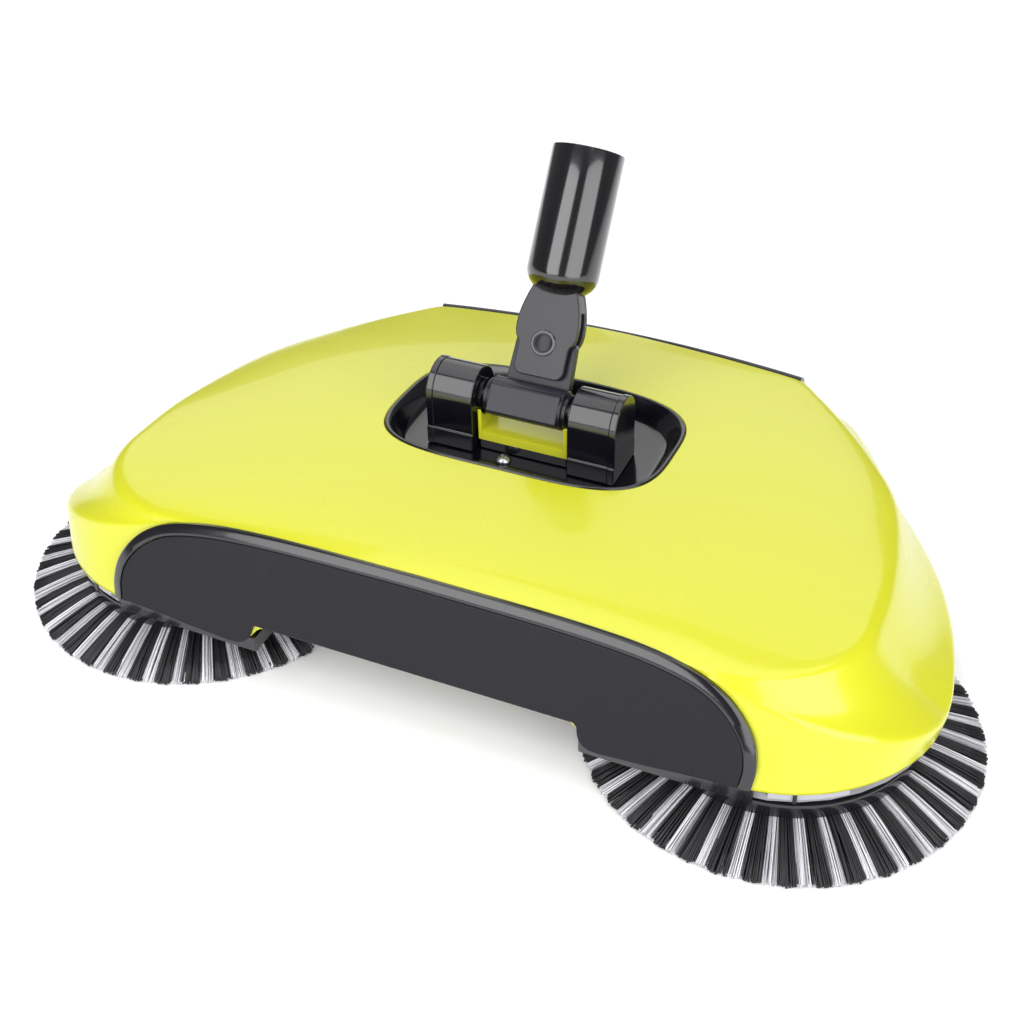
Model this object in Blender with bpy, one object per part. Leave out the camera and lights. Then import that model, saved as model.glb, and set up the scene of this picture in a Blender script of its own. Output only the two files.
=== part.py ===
"""Push-along carpet sweeper head with two side brushes, a roller brush and a dust drawer.

Sizes are millimetres, with x to the right, y to the back and z up from the floor.  y is measured
from the line through both side brushes; place() turns such a point into the part's own metres.
"""

import math

import bmesh
import bpy
from mathutils import Matrix, Vector

# Driving dimensions
SHIFT_Y = -49.85  # the side brushes' line, from the part's middle
BRUSH_X = 124.7
BRUSH_TIP_R = 75.3
DISC_R = 52.5
DISC_BOTTOM, DISC_TOP = 9.0, 15.8
SPINDLE_R = 3.0
SPINDLE_TOP = 43.5

SKIRT_Z, CREASE_Z = 22.0, 27.0
FRONT_Y = -57.0
FRONT_LEAN = 0.32
WALL = 2.4
CROWN_Z, CROWN_ALONG, CROWN_ACROSS = 70.0, 0.000513, 0.00045

MOUTH_HALF, MOUTH_Z = 66.3, 30.6
LOBE_LIFT = 2.4
DRAWER_HALF = 86.5
WELL_Y, WELL_A, WELL_B, WELL_POWER = 61.6, 59.6, 39.6, 3.45
WELL_FLOOR = 57.0

TILT_Y, TILT_Z = 56.7, 78.9
LEAN = math.radians(33.5)
BAR_R, BAR_HALF = 8.0, 17.6
EAR_IN, EAR_OUT, EAR_R = 20.5, 40.5, 11.2
PIN_R = 2.4
SWIVEL_UP = 24.2
HANDLE_BACK = -6.5  # the socket's axis, behind the bar's
SOCKET_R, SOCKET_BORE_R = 14.7, 11.2
SOCKET_LOW, SOCKET_TOP, SOCKET_FLOOR = 51.5, 101.6, 57.0

AXLE_Z, AXLE_R = 25.0, 2.5
WHEEL_IN, WHEEL_OUT = 30.0, 42.0
TYRE_R, RIM_R = 25.0, 21.5
GEAR_IN, GEAR_OUT = 46.2, 50.2
MODULE = 1.5
AXLE_TEETH, LAY_TEETH, IDLER_TEETH, ROLLER_TEETH = 20, 10, 19, 12
CROWN_TEETH, CROWN_R = 16, 12.0
LAY_Z = AXLE_Z + MODULE * (AXLE_TEETH + LAY_TEETH) / 2
LAY_START, LAY_END = 45.0, 145.6
CROWN_PITCH_Z = LAY_Z - MODULE * LAY_TEETH / 2
IDLER_REACH = MODULE * (AXLE_TEETH + IDLER_TEETH) / 2
ROLLER_REACH = IDLER_REACH + MODULE * (IDLER_TEETH + ROLLER_TEETH) / 2
ROLLER_Z, ROLLER_R, ROLLER_HALF = 16.6, 16.0, 44.0
ROLLER_CORE_R = 7.0
ROLLER_Y = math.sqrt(ROLLER_REACH**2 - (AXLE_Z - ROLLER_Z) ** 2)
IDLER_Y = ROLLER_Y * IDLER_REACH / ROLLER_REACH
IDLER_Z = AXLE_Z + (ROLLER_Z - AXLE_Z) * IDLER_REACH / ROLLER_REACH

FRAME_LOW, FRAME_TOP = 17.6, 20.8
SIDE_IN, SIDE_OUT, SIDE_TOP = 53.0, 56.0, 53.0
TRAY_HALF, TRAY_FRONT, TRAY_BACK = 82.5, 72.0, 156.0
TRAY_LOW, TRAY_TOP, TRAY_WALL = 5.0, 48.0, 2.0
REAR_WHEEL_Y, REAR_WHEEL_R = 134.0, 8.2

LIME = (0.74, 0.75, 0.06)
BLACK = (0.012, 0.012, 0.014)
GREY = (0.045, 0.043, 0.05)
FRAME_GREY = (0.25, 0.25, 0.27)
STEEL = (0.62, 0.62, 0.64)
BRISTLE = (0.32, 0.32, 0.33)
WHITE = (0.78, 0.78, 0.76)


def place(point):
    """A point in millimetres from the brush line, in the part's own metres."""
    return Vector((point[0], point[1] + SHIFT_Y, point[2])) * 0.001


def material(name, colour, roughness, metallic=0.0):
    made = bpy.data.materials.get(name)
    if made is None:
        made = bpy.data.materials.new(name)
        made.use_nodes = True
        shader = made.node_tree.nodes["Principled BSDF"]
        shader.inputs["Base Color"].default_value = (*colour, 1.0)
        shader.inputs["Roughness"].default_value = roughness
        shader.inputs["Metallic"].default_value = metallic
    return made


def lime():
    return material("lime gloss", LIME, 0.12)


def black():
    return material("black gloss", BLACK, 0.15)


def satin():
    return material("dark satin", GREY, 0.4)


def frame_grey():
    return material("frame grey", FRAME_GREY, 0.5)


def steel():
    return material("steel", STEEL, 0.3, 1.0)


def acetal():
    return material("white acetal", WHITE, 0.4)


def rubber():
    return material("rubber", BLACK, 0.8)


def bristle():
    return material("bristle", BRISTLE, 0.7)


def finish(bm, name, look, origin=(0.0, 0.0, 0.0), sharp=35.0):
    """Turn millimetre geometry into an object whose own origin is at the given place."""
    bmesh.ops.remove_doubles(bm, verts=bm.verts, dist=1e-4)
    bmesh.ops.recalc_face_normals(bm, faces=bm.faces)
    centre = Vector(origin)
    for vert in bm.verts:
        vert.co = (vert.co - centre) * 0.001
    mesh = bpy.data.meshes.new(name)
    bm.to_mesh(mesh)
    bm.free()
    mesh.materials.append(look)
    mesh.shade_smooth()
    mesh.set_sharp_from_angle(angle=math.radians(sharp))
    obj = bpy.data.objects.new(name, mesh)
    obj.location = place(centre)
    bpy.context.collection.objects.link(obj)
    return obj


def prism(bm, outline, depth):
    """Extrude a closed list of points along the vector depth; returns the new vertices."""
    verts = [bm.verts.new(point) for point in outline]
    face = bm.faces.new(verts)
    grown = bmesh.ops.extrude_face_region(bm, geom=[face])
    moved = [item for item in grown["geom"] if isinstance(item, bmesh.types.BMVert)]
    bmesh.ops.translate(bm, verts=moved, vec=Vector(depth))
    return verts + moved


def turned(bm, profile, axis_point, axis, across, steps):
    """Spin a closed profile of (radius, height) pairs about an axis through axis_point."""
    start, along, out = Vector(axis_point), Vector(axis), Vector(across)
    verts = [bm.verts.new(start + out * radius + along * height) for radius, height in profile]
    edges = [bm.edges.new((verts[i - 1], verts[i])) for i in range(len(verts))]
    bmesh.ops.spin(
        bm, geom=verts + edges, cent=start, axis=along, angle=2 * math.pi, steps=steps, use_merge=True
    )
    bmesh.ops.remove_doubles(bm, verts=bm.verts, dist=1e-4)


def box(bm, low, high):
    outline = [(low[0], low[1], low[2]), (high[0], low[1], low[2])]
    outline += [(high[0], high[1], low[2]), (low[0], high[1], low[2])]
    return prism(bm, outline, (0, 0, high[2] - low[2]))


def rod(bm, start, end, radius, steps=16):
    """A plain round bar from start to end."""
    start, end = Vector(start), Vector(end)
    along = end - start
    turn = along.to_track_quat("Z", "Y").to_matrix().to_4x4()
    middle = Matrix.Translation((start + end) / 2) @ turn
    bmesh.ops.create_cone(
        bm, cap_ends=True, segments=steps, radius1=radius, radius2=radius,
        depth=along.length, matrix=middle,
    )


def hide(obj):
    obj.hide_render = True
    obj.display_type = "WIRE"


def combine(obj, other, operation):
    """Cut the object by, or join it with, a helper that is not a piece itself."""
    step = obj.modifiers.new(other.name, "BOOLEAN")
    step.operation = operation
    step.solver = "EXACT"
    step.object = other
    hide(other)


def cut(obj, other):
    combine(obj, other, "DIFFERENCE")


def join(obj, other):
    combine(obj, other, "UNION")


def smooth_path(points, count):
    """Points read from a Catmull-Rom curve through the given ones."""
    path = [Vector(point) for point in points]
    path = [path[0] * 2 - path[1], *path, path[-1] * 2 - path[-2]]
    spans = len(path) - 3
    found = []
    for step in range(count):
        place_on = spans * step / (count - 1)
        index = min(int(place_on), spans - 1)
        t = place_on - index
        a, b, c, d = path[index : index + 4]
        found.append(
            (b * 2 + (c - a) * t + (a * 2 - b * 5 + c * 4 - d) * t * t + (b * 3 - a - c * 3 + d) * t**3) / 2
        )
    return found


# The cover's shell


def crown(x, y):
    """Height of the cover's domed deck."""
    return CROWN_Z - CROWN_ALONG * y * y - CROWN_ACROSS * x * x


def front_y(z):
    """The flat, leaning front of the body."""
    return FRONT_Y + FRONT_LEAN * (z - SKIRT_Z)


FRONT_STEPS, LOBE_STEPS, SIDE_STEPS, REAR_STEPS = 4, 8, 11, 3
LOBE_POWER = 1.08  # a little flatter than an ellipse


def half_loop(front, lobe, side, rear):
    """One level of the body, right half, from the middle of the front round to the back.

    front gives the point at x from 0 to 1 of the straight front, lobe the point at an angle of 0
    to 90 degrees round the brush's lobe, side is a list of places and rear is the middle's place.
    """
    points = [Vector(front(step / FRONT_STEPS)) for step in range(FRONT_STEPS)]
    points += [Vector(lobe(math.radians(90 * step / LOBE_STEPS))) for step in range(LOBE_STEPS)]
    points += smooth_path(side, SIDE_STEPS + 1)[:-1]
    corner, middle = Vector(side[-1]), Vector(rear)
    for step in range(REAR_STEPS + 1):
        t = step / REAR_STEPS
        spot = corner.lerp(middle, t)
        bulge = (1 - (1 - t) ** 2 - t) * 0.6
        spot.y += bulge * (middle.y - corner.y)
        spot.z += bulge * (middle.z - corner.z)
        points.append(spot)
    return points


def whole_loop(half):
    """Mirror a half loop; its first and last points lie on the middle plane."""
    other = [Vector((-point.x, point.y, point.z)) for point in reversed(half[1:-1])]
    return half + other


def level_loop(z, reach, side, rear):
    """A loop at one height, whose lobe is a quarter of an ellipse round the side brush."""
    depth = -front_y(z)

    def front(t):
        return (BRUSH_X * t, -depth, z)

    def lobe(angle):
        across, along = math.sin(angle) ** LOBE_POWER, math.cos(angle) ** LOBE_POWER
        return (BRUSH_X + reach * across, -depth * along, z)

    return half_loop(front, lobe, side, rear)


def skirt_side(inset, z):
    """The body's widest side, from the lobe's end to the rear corner."""
    places = [(183, 0), (182.5, 15), (177.6, 42), (168, 70), (154, 96), (139, 119)]
    places += [(121.5, 150), (106, 170), (90, 174)]
    return [(x - inset, y - inset * 0.5, z) for x, y in places]


CREST_SIDE = [
    (153.7, 0, 59.8), (153.6, 28, 58.2), (150.2, 56, 55.6), (142.6, 85, 53.6),
    (127.5, 109, 53.4), (109.0, 130.5, 54.4), (88.6, 152.0, 54.6),
]
CREST_LOBE_X, CREST_LOBE_Y = 105.0, -44.2


def crest_loop():
    """The rounded edge of the deck."""
    top_z, lobe_z, end_z = 66.6, 61.6, 59.8

    def front(t):
        z = top_z + (lobe_z - top_z) * t * t
        return (CREST_LOBE_X * t, front_y(z), z)

    def lobe(angle):
        part = angle / (math.pi / 2)
        z = lobe_z + (end_z - lobe_z) * part
        reach = CREST_SIDE[0][0] - CREST_LOBE_X
        return (CREST_LOBE_X + reach * math.sin(angle), front_y(lobe_z) * math.cos(angle), z)

    return half_loop(front, lobe, CREST_SIDE, (0, 155.8, 58.0))


def crease_loop():
    """Where the flank meets the upright skirt; it climbs to the crest at the front."""
    top_z, lobe_z, end_z = 64.6, 58.6, CREASE_Z + 2.0

    def front(t):
        z = top_z + (lobe_z - top_z) * t * t
        return (112.0 * t, front_y(z), z)

    def lobe(angle):
        part = angle / (math.pi / 2)
        z = lobe_z + (end_z - lobe_z) * part**0.85
        centre = 112.0 + (BRUSH_X - 112.0) * min(1.0, part * 2)
        reach = 183.0 - centre
        x = centre + reach * math.sin(angle) ** LOBE_POWER
        return (x, front_y(z) * math.cos(angle) ** LOBE_POWER, z)

    side = [Vector(point) for point in skirt_side(0.0, CREASE_Z)]
    side[0].z, side[1].z = end_z, CREASE_Z + 1.0
    return half_loop(front, lobe, side, (0, 175.0, CREASE_Z))


def blend_loops(first, second, across, down):
    """A loop between two others; across is the share sideways, down the share in height."""
    found = []
    for a, b in zip(first, second, strict=True):
        spot = a.lerp(b, across)
        spot.z = a.z + (b.z - a.z) * down
        found.append(spot)
    return found


def deck_loops(crest):
    """Rings of the dome, shrinking from the crest to the middle."""
    centre = Vector((0.0, 56.0, 0.0))
    loops = []
    for share in (0.985, 0.95, 0.87, 0.68, 0.35):
        loop = []
        for point in crest:
            flat = centre + (Vector((point.x, point.y, 0.0)) - centre) * share
            droop = (crown(point.x, point.y) - point.z) * share**9
            loop.append(Vector((flat.x, flat.y, crown(flat.x, flat.y) - droop)))
        loops.append(loop)
    return loops


def ease(value, low, high):
    """Climb smoothly from 0 at low to 1 at high."""
    t = min(1.0, max(0.0, (value - low) / (high - low)))
    return t * t * (3 - 2 * t)


def bottom_loop():
    """The cover's lower edge; it stands a little higher round the side brushes."""
    loop = level_loop(SKIRT_Z, 57.3, skirt_side(1.2, SKIRT_Z), (0, 174.0, SKIRT_Z))
    for point in loop:
        point.z += LOBE_LIFT * ease(point.x, 70.0, 118.0) * (1 - ease(point.y, 30.0, 110.0))
        point.y *= front_y(point.z) / FRONT_Y if point.y < 0 else 1.0
    return loop


def body_loops():
    bottom, crease, crest = bottom_loop(), crease_loop(), crest_loop()
    middle = blend_loops(bottom, crease, 0.6, 0.5)
    low_flank = blend_loops(crease, crest, 0.35, 0.22)
    flank = blend_loops(crease, crest, 0.68, 0.54)
    shoulder = blend_loops(crease, crest, 0.90, 0.86)
    return [bottom, middle, crease, low_flank, flank, shoulder, crest]


def skin_loops(bm, loops, cap_point=None):
    """Skin a stack of closed loops, and close the last one to a point."""
    rings = []
    for loop in loops:
        verts = [bm.verts.new(point) for point in loop]
        edges = [bm.edges.new((verts[i - 1], verts[i])) for i in range(len(verts))]
        if rings:
            bmesh.ops.bridge_loops(bm, edges=rings[-1] + edges)
        rings.append(edges)
    if cap_point is not None:
        tip = bm.verts.new(cap_point)
        for edge in rings[-1]:
            bm.faces.new((edge.verts[0], edge.verts[1], tip))


def well_outline(grow, count=36):
    """The rounded rectangle of the handle's well, grown sideways by some millimetres."""
    points = []
    for step in range(count):
        turn = 2 * math.pi * step / count
        across, along = math.cos(turn), math.sin(turn)
        power = 2 / WELL_POWER
        x = (WELL_A + grow) * math.copysign(abs(across) ** power, across)
        y = WELL_Y + (WELL_B + grow) * math.copysign(abs(along) ** power, along)
        points.append((x, y))
    return points


def rear_edge(x):
    """The curved back edge of the deck over the drawer."""
    return 155.4 - 3.0 * (x / 88.0) ** 2


def rear_cut():
    """The drawer's way out at the back."""
    bm = bmesh.new()
    steps = 8
    outline = []
    for step in range(steps + 1):
        x = -DRAWER_HALF - 0.6 + 2 * (DRAWER_HALF + 0.6) * step / steps
        outline.append((x, rear_edge(x), 10.0))
    outline += [(DRAWER_HALF + 0.6, 200.0, 10.0), (-DRAWER_HALF - 0.6, 200.0, 10.0)]
    prism(bm, outline, (0, 0, 60.0))
    return finish(bm, "rear_cut", lime())


def top_cover():
    bm = bmesh.new()
    loops = [whole_loop(half) for half in body_loops()]
    loops += deck_loops(loops[-1])
    skin_loops(bm, loops, (0.0, 56.0, crown(0.0, 56.0)))
    cover = finish(bm, "top_cover", lime())
    shell = cover.modifiers.new("wall", "SOLIDIFY")
    shell.thickness = WALL * 0.001
    shell.offset = -1.0

    bm = bmesh.new()
    prism(bm, [(x, y, WELL_FLOOR - 20.0) for x, y in well_outline(0.0)], (0, 0, 60.0))
    cut(cover, finish(bm, "well_cut", lime()))
    cut(cover, rear_cut())
    bm = bmesh.new()
    box(bm, (-MOUTH_HALF, -70.0, 5.0), (MOUTH_HALF, -40.0, MOUTH_Z))
    cut(cover, finish(bm, "mouth_cut", lime()))


# The front panel, drawn in the plane of the leaning front


def front_point(x, rise, out):
    """A point of the front plane: x across, rise up from the skirt, out in front of it."""
    slant = math.hypot(1.0, FRONT_LEAN)
    normal = Vector((0.0, -1.0, FRONT_LEAN)) / slant
    return Vector((x, front_y(SKIRT_Z + rise), SKIRT_Z + rise)) + normal * out


def panel_half(inset):
    """Right half of the panel's top and side, as (x, rise) from the middle to the foot."""
    top = [(0.0, 44.8), (35.0, 44.5), (62.0, 43.7), (85.0, 42.0), (103.0, 38.4), (113.6, 33.8)]
    top += [(121.6, 27.4), (127.4, 19.4), (129.6, 11.0), (129.2, 3.2)]
    found = smooth_path([Vector((x, rise, 0.0)) for x, rise in top], 20)
    moved = []
    for index, point in enumerate(found):
        before, after = found[max(index - 1, 0)], found[min(index + 1, len(found) - 1)]
        run = (after - before).normalized()
        moved.append(point + Vector((run.y, -run.x, 0.0)) * inset)
    moved[0].x = 0.0
    return moved


def panel_bottom(edge_x):
    """Right half of the panel's lower edge, from the outer foot to the middle of the mouth."""
    edge = [(edge_x, 3.0), (112.0, 2.6), (94.0, 1.3), (73.5, 0.1), (69.0, 1.2), (66.9, 3.8)]
    return edge + [(65.4, 8.6), (0.0, 8.6)]


def panel_outline(inset):
    """The panel's whole edge as (x, rise) pairs."""
    half = panel_half(inset)
    half[-1].y = 3.0
    right = [(point.x, point.y) for point in half]
    right += panel_bottom(half[-1].x)[1:]
    left = [(-x, rise) for x, rise in reversed(right[1:-1])]
    return right + left


RIM_OUT, PANEL_OUT, RIM_WIDTH = 1.6, 3.0, 4.3


def front_bezel():
    """The glossy rim: a chamfered arch that is open along its foot."""
    bm = bmesh.new()
    outer, inner = panel_half(0.3), panel_half(RIM_WIDTH)
    outer[-1].y = inner[-1].y = 3.2
    shoulder = panel_half(1.1)
    shoulder[-1].y = 3.2
    rows = []
    for half, out in ((outer, 0.3), (outer, RIM_OUT), (shoulder, 2.3), (inner, PANEL_OUT), (inner, 0.3)):
        line = [front_point(-p.x, p.y, out) for p in reversed(half[1:])]
        line += [front_point(p.x, p.y, out) for p in half]
        rows.append([bm.verts.new(point) for point in line])
    for index in range(len(rows)):
        first, second = rows[index - 1], rows[index]
        for step in range(len(first) - 1):
            bm.faces.new((first[step], first[step + 1], second[step + 1], second[step]))
    bm.faces.new([row[0] for row in rows])
    bm.faces.new([row[-1] for row in reversed(rows)])
    finish(bm, "front_bezel", black(), sharp=25.0)


def front_panel():
    """The flat grey plate inside the rim, which covers the body's front down to the mouth."""
    bm = bmesh.new()
    outline = [front_point(x, rise, 0.3) for x, rise in panel_outline(RIM_WIDTH + 0.3)]
    depth = front_point(0, 0, PANEL_OUT - 0.3) - front_point(0, 0, 0.3)
    prism(bm, outline, depth)
    finish(bm, "front_panel", satin(), sharp=25.0)


# The handle's well, its bearings and the folding joint


def handle_well():
    """The black recess in the deck: a rim, sloping walls and a flat floor."""
    bm = bmesh.new()
    rim = [Vector((x, y, crown(x, y) + 0.2)) for x, y in well_outline(-2.6)]
    wall = [Vector((x, y, WELL_FLOOR + 2.6)) for x, y in well_outline(-6.0)]
    foot = [Vector((x, y, WELL_FLOOR + 0.6)) for x, y in well_outline(-7.2)]
    floor = [Vector((x, y, WELL_FLOOR)) for x, y in well_outline(-9.5)]
    skin_loops(bm, [rim, wall, foot, floor], (0.0, WELL_Y, WELL_FLOOR))
    well = finish(bm, "handle_well", black())
    shell = well.modifiers.new("wall", "SOLIDIFY")
    shell.thickness = 0.0020
    shell.offset = 1.0
    bm = bmesh.new()
    rod(bm, (WELL_SCREW[0], WELL_SCREW[1], 50.0), (WELL_SCREW[0], WELL_SCREW[1], 60.0), 1.9)
    cut(well, finish(bm, "well_screw_hole", black()))


WELL_SCREW = (-6.6, 44.5)


def screw(name, spot, up, head_r=3.2, length=8.0, shank_r=1.6):
    """A pan-head screw: spot is the seat under its head and up the way its head points."""
    bm = bmesh.new()
    profile = [(0, 1.9), (head_r * 0.75, 1.5), (head_r, 0), (shank_r, 0), (shank_r, -length), (0, -length)]
    turned(bm, profile, spot, (0, 0, up), (1, 0, 0), 8)
    finish(bm, name, steel(), origin=spot)


def ear(name, side):
    """A bearing block with a round top that holds one end of the tilt pin."""
    bm = bmesh.new()
    outline = [(-EAR_R - 0.7, WELL_FLOOR + 0.3), (-EAR_R - 0.7, 64.6), (-EAR_R, 65.4)]
    for step in range(13):
        turn = math.pi - math.pi * step / 12
        outline.append((EAR_R * math.cos(turn), TILT_Z + EAR_R * math.sin(turn)))
    outline += [(EAR_R, 65.4), (EAR_R + 0.7, 64.6), (EAR_R + 0.7, WELL_FLOOR + 0.3)]
    prism(bm, [(EAR_IN * side, TILT_Y + y, z) for y, z in outline], ((EAR_OUT - EAR_IN) * side, 0, 0))
    block = finish(bm, name, black(), origin=(EAR_IN * side, TILT_Y, TILT_Z))
    bm = bmesh.new()
    rod(bm, ((EAR_IN - 2) * side, TILT_Y, TILT_Z), ((EAR_OUT - 4) * side, TILT_Y, TILT_Z), PIN_R + 0.3)
    cut(block, finish(bm, name + "_bore", black()))


def bar_saddle():
    """The lime cradle under the bar: a web between two upright flanges."""
    low, web, top = WELL_FLOOR + 0.3, 66.0, 76.0
    bm = bmesh.new()
    half, flange = 19.7, 1.3
    outline = [(-half, low), (half, low), (half, top), (half - flange, top), (half - flange, web)]
    outline += [(-half + flange, web), (-half + flange, top), (-half, top)]
    prism(bm, [(x, TILT_Y - 8.0, z) for x, z in outline], (0, 16.0, 0))
    saddle = finish(bm, "bar_saddle", lime(), origin=(0, TILT_Y, web))
    bm = bmesh.new()
    rod(bm, (-30, TILT_Y, TILT_Z), (30, TILT_Y, TILT_Z), BAR_R + 0.5, 24)
    cut(saddle, finish(bm, "saddle_hollow", lime()))


def handle_point(x, up, out):
    """A point of the leaning handle: up along it, out in front of the bar's axis."""
    up_way = Vector((0, math.sin(LEAN), math.cos(LEAN)))
    out_way = Vector((0, -math.cos(LEAN), math.sin(LEAN)))
    return Vector((x, TILT_Y, TILT_Z)) + up_way * up + out_way * out


def handle_way(up, out):
    return handle_point(0, up, out) - handle_point(0, 0, 0)


def handle_plate(bm, half_outline, low_out, high_out):
    """A flat plate across the handle, mirrored about its middle."""
    whole = half_outline + [(-x, up) for x, up in reversed(half_outline)]
    prism(bm, [handle_point(x, up, low_out) for x, up in whole], handle_way(0, high_out - low_out))


def rounded(centre, radius, start, end, steps=5):
    """Points on an arc between two angles in degrees."""
    found = []
    for step in range(steps + 1):
        turn = math.radians(start + (end - start) * step / steps)
        found.append((centre[0] + radius * math.cos(turn), centre[1] + radius * math.sin(turn)))
    return found


TONGUE_THICK, CHEEK_GAP, CHEEK_THICK = 4.0, 0.4, 3.0


def cross_bar():
    """The barrel that turns in the ears, with the tongue that carries the handle."""
    bm = bmesh.new()
    bore = PIN_R + 0.3
    neck = BAR_R - 1.2
    profile = [(bore, -BAR_HALF), (neck, -BAR_HALF), (neck, -BAR_HALF + 1.6), (BAR_R, -BAR_HALF + 2.2)]
    profile += [(BAR_R, BAR_HALF - 2.2), (neck, BAR_HALF - 1.6), (neck, BAR_HALF), (bore, BAR_HALF)]
    turned(bm, profile, (0, TILT_Y, TILT_Z), (1, 0, 0), (0, 0, 1), 24)
    bar = finish(bm, "cross_bar", satin(), origin=(0, TILT_Y, TILT_Z))
    bm = bmesh.new()
    half = [(13.8, 3.6), (12.9, 24.2), (9.9, SWIVEL_UP + 0.6)]
    half += rounded((0, SWIVEL_UP), 10.0, 4, 90, 6)[1:-1]
    handle_plate(bm, half, HANDLE_BACK - TONGUE_THICK / 2, HANDLE_BACK + TONGUE_THICK / 2)
    tongue = finish(bm, "tongue", satin())
    bm = bmesh.new()
    rod(bm, handle_point(0, SWIVEL_UP, -20), handle_point(0, SWIVEL_UP, 10), PIN_R + 0.3)
    cut(tongue, finish(bm, "tongue_hole", satin()))
    bm = bmesh.new()
    rod(bm, (-30, TILT_Y, TILT_Z), (30, TILT_Y, TILT_Z), bore, 24)
    cut(tongue, finish(bm, "tongue_bore", satin()))
    join(bar, tongue)


def swivel_pin():
    """The pin through the fork and the tongue, with a head on the front cheek."""
    reach = TONGUE_THICK / 2 + CHEEK_GAP + CHEEK_THICK
    bm = bmesh.new()
    profile = [(0, reach + 1.1), (3.4, reach + 1.1), (4.0, reach + 0.6), (4.0, reach + 0.3)]
    profile += [(PIN_R, reach + 0.3), (PIN_R, -reach - 0.5), (0, -reach - 0.5)]
    spot = handle_point(0, SWIVEL_UP, HANDLE_BACK)
    turned(bm, profile, spot, handle_way(0, 1), (1, 0, 0), 16)
    finish(bm, "swivel_pin", steel(), origin=spot)


def tilt_pin():
    bm = bmesh.new()
    reach = EAR_OUT - 4.4
    rod(bm, (-reach, TILT_Y, TILT_Z), (reach, TILT_Y, TILT_Z), PIN_R)
    finish(bm, "tilt_pin", steel(), origin=(0, TILT_Y, TILT_Z))


def socket_fork():
    """The fork's two cheeks run up into the round socket that takes the handle's tube."""
    inner = TONGUE_THICK / 2 + CHEEK_GAP
    outer = inner + CHEEK_THICK
    spot = handle_point(0, SWIVEL_UP, HANDLE_BACK)
    profile = [(0, 43.6), (6.0, 44.2), (10.6, 46.2), (13.6, 49.2), (SOCKET_R, SOCKET_LOW + 1.5)]
    profile += [(SOCKET_R, SOCKET_TOP - 0.6), (SOCKET_R - 0.6, SOCKET_TOP), (SOCKET_BORE_R, SOCKET_TOP)]
    profile += [(SOCKET_BORE_R, SOCKET_FLOOR), (0, SOCKET_FLOOR)]
    profile = [(radius, up - SWIVEL_UP) for radius, up in profile]
    bm = bmesh.new()
    turned(bm, profile, spot, handle_way(1, 0), (1, 0, 0), 28)
    fork = finish(bm, "socket_fork", black(), origin=spot)

    half = rounded((7.1, 14.1), 3.5, -90, 0, 4)
    half += [(10.7, 23.0), (12.4, 25.2), (13.1, 30.0), (12.6, 36.5), (11.2, 41.5), (9.4, 46.5), (8.0, 49.0)]
    for low in (-outer, inner):
        bm = bmesh.new()
        handle_plate(bm, half, HANDLE_BACK + low, HANDLE_BACK + low + CHEEK_THICK)
        join(fork, finish(bm, f"cheek_{'front' if low > 0 else 'rear'}", black()))
    bm = bmesh.new()
    neck = [(11.9, 38.5), (11.0, 41.5), (9.2, 46.5), (7.8, 48.6)]
    handle_plate(bm, neck, HANDLE_BACK - inner - 1.0, HANDLE_BACK + inner + 1.0)
    join(fork, finish(bm, "fork_neck", black()))
    bm = bmesh.new()
    rod(bm, handle_point(0, SWIVEL_UP, -30), handle_point(0, SWIVEL_UP, 20), PIN_R + 0.3)
    cut(fork, finish(bm, "fork_hole", black()))


# Gears


def tooth_ring(teeth, phase, root, tip):
    """Flat gear outline as (angle, radius) pairs, four to a tooth."""
    found = []
    step = 2 * math.pi / teeth
    for index in range(teeth):
        middle = phase + index * step
        for share, radius in ((-0.28, root), (-0.12, tip), (0.12, tip), (0.28, root)):
            found.append((middle + share * step, radius))
    return found


def spur_gear(name, teeth, centre, x_low, x_high, bore, phase, look):
    """A gear about the X axis; phase is the first tooth's angle from straight back (+Y)."""
    pitch_r = MODULE * teeth / 2
    bm = bmesh.new()
    outline = []
    for turn, radius in tooth_ring(teeth, phase, pitch_r - 1.75, pitch_r + 1.2):
        outline.append((x_low, centre[1] + radius * math.cos(turn), centre[2] + radius * math.sin(turn)))
    prism(bm, outline, (x_high - x_low, 0, 0))
    gear = finish(bm, name, look, origin=centre)
    bm = bmesh.new()
    rod(bm, (x_low - 5, centre[1], centre[2]), (x_high + 5, centre[1], centre[2]), bore)
    cut(gear, finish(bm, name + "_bore", look))
    return gear


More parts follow.
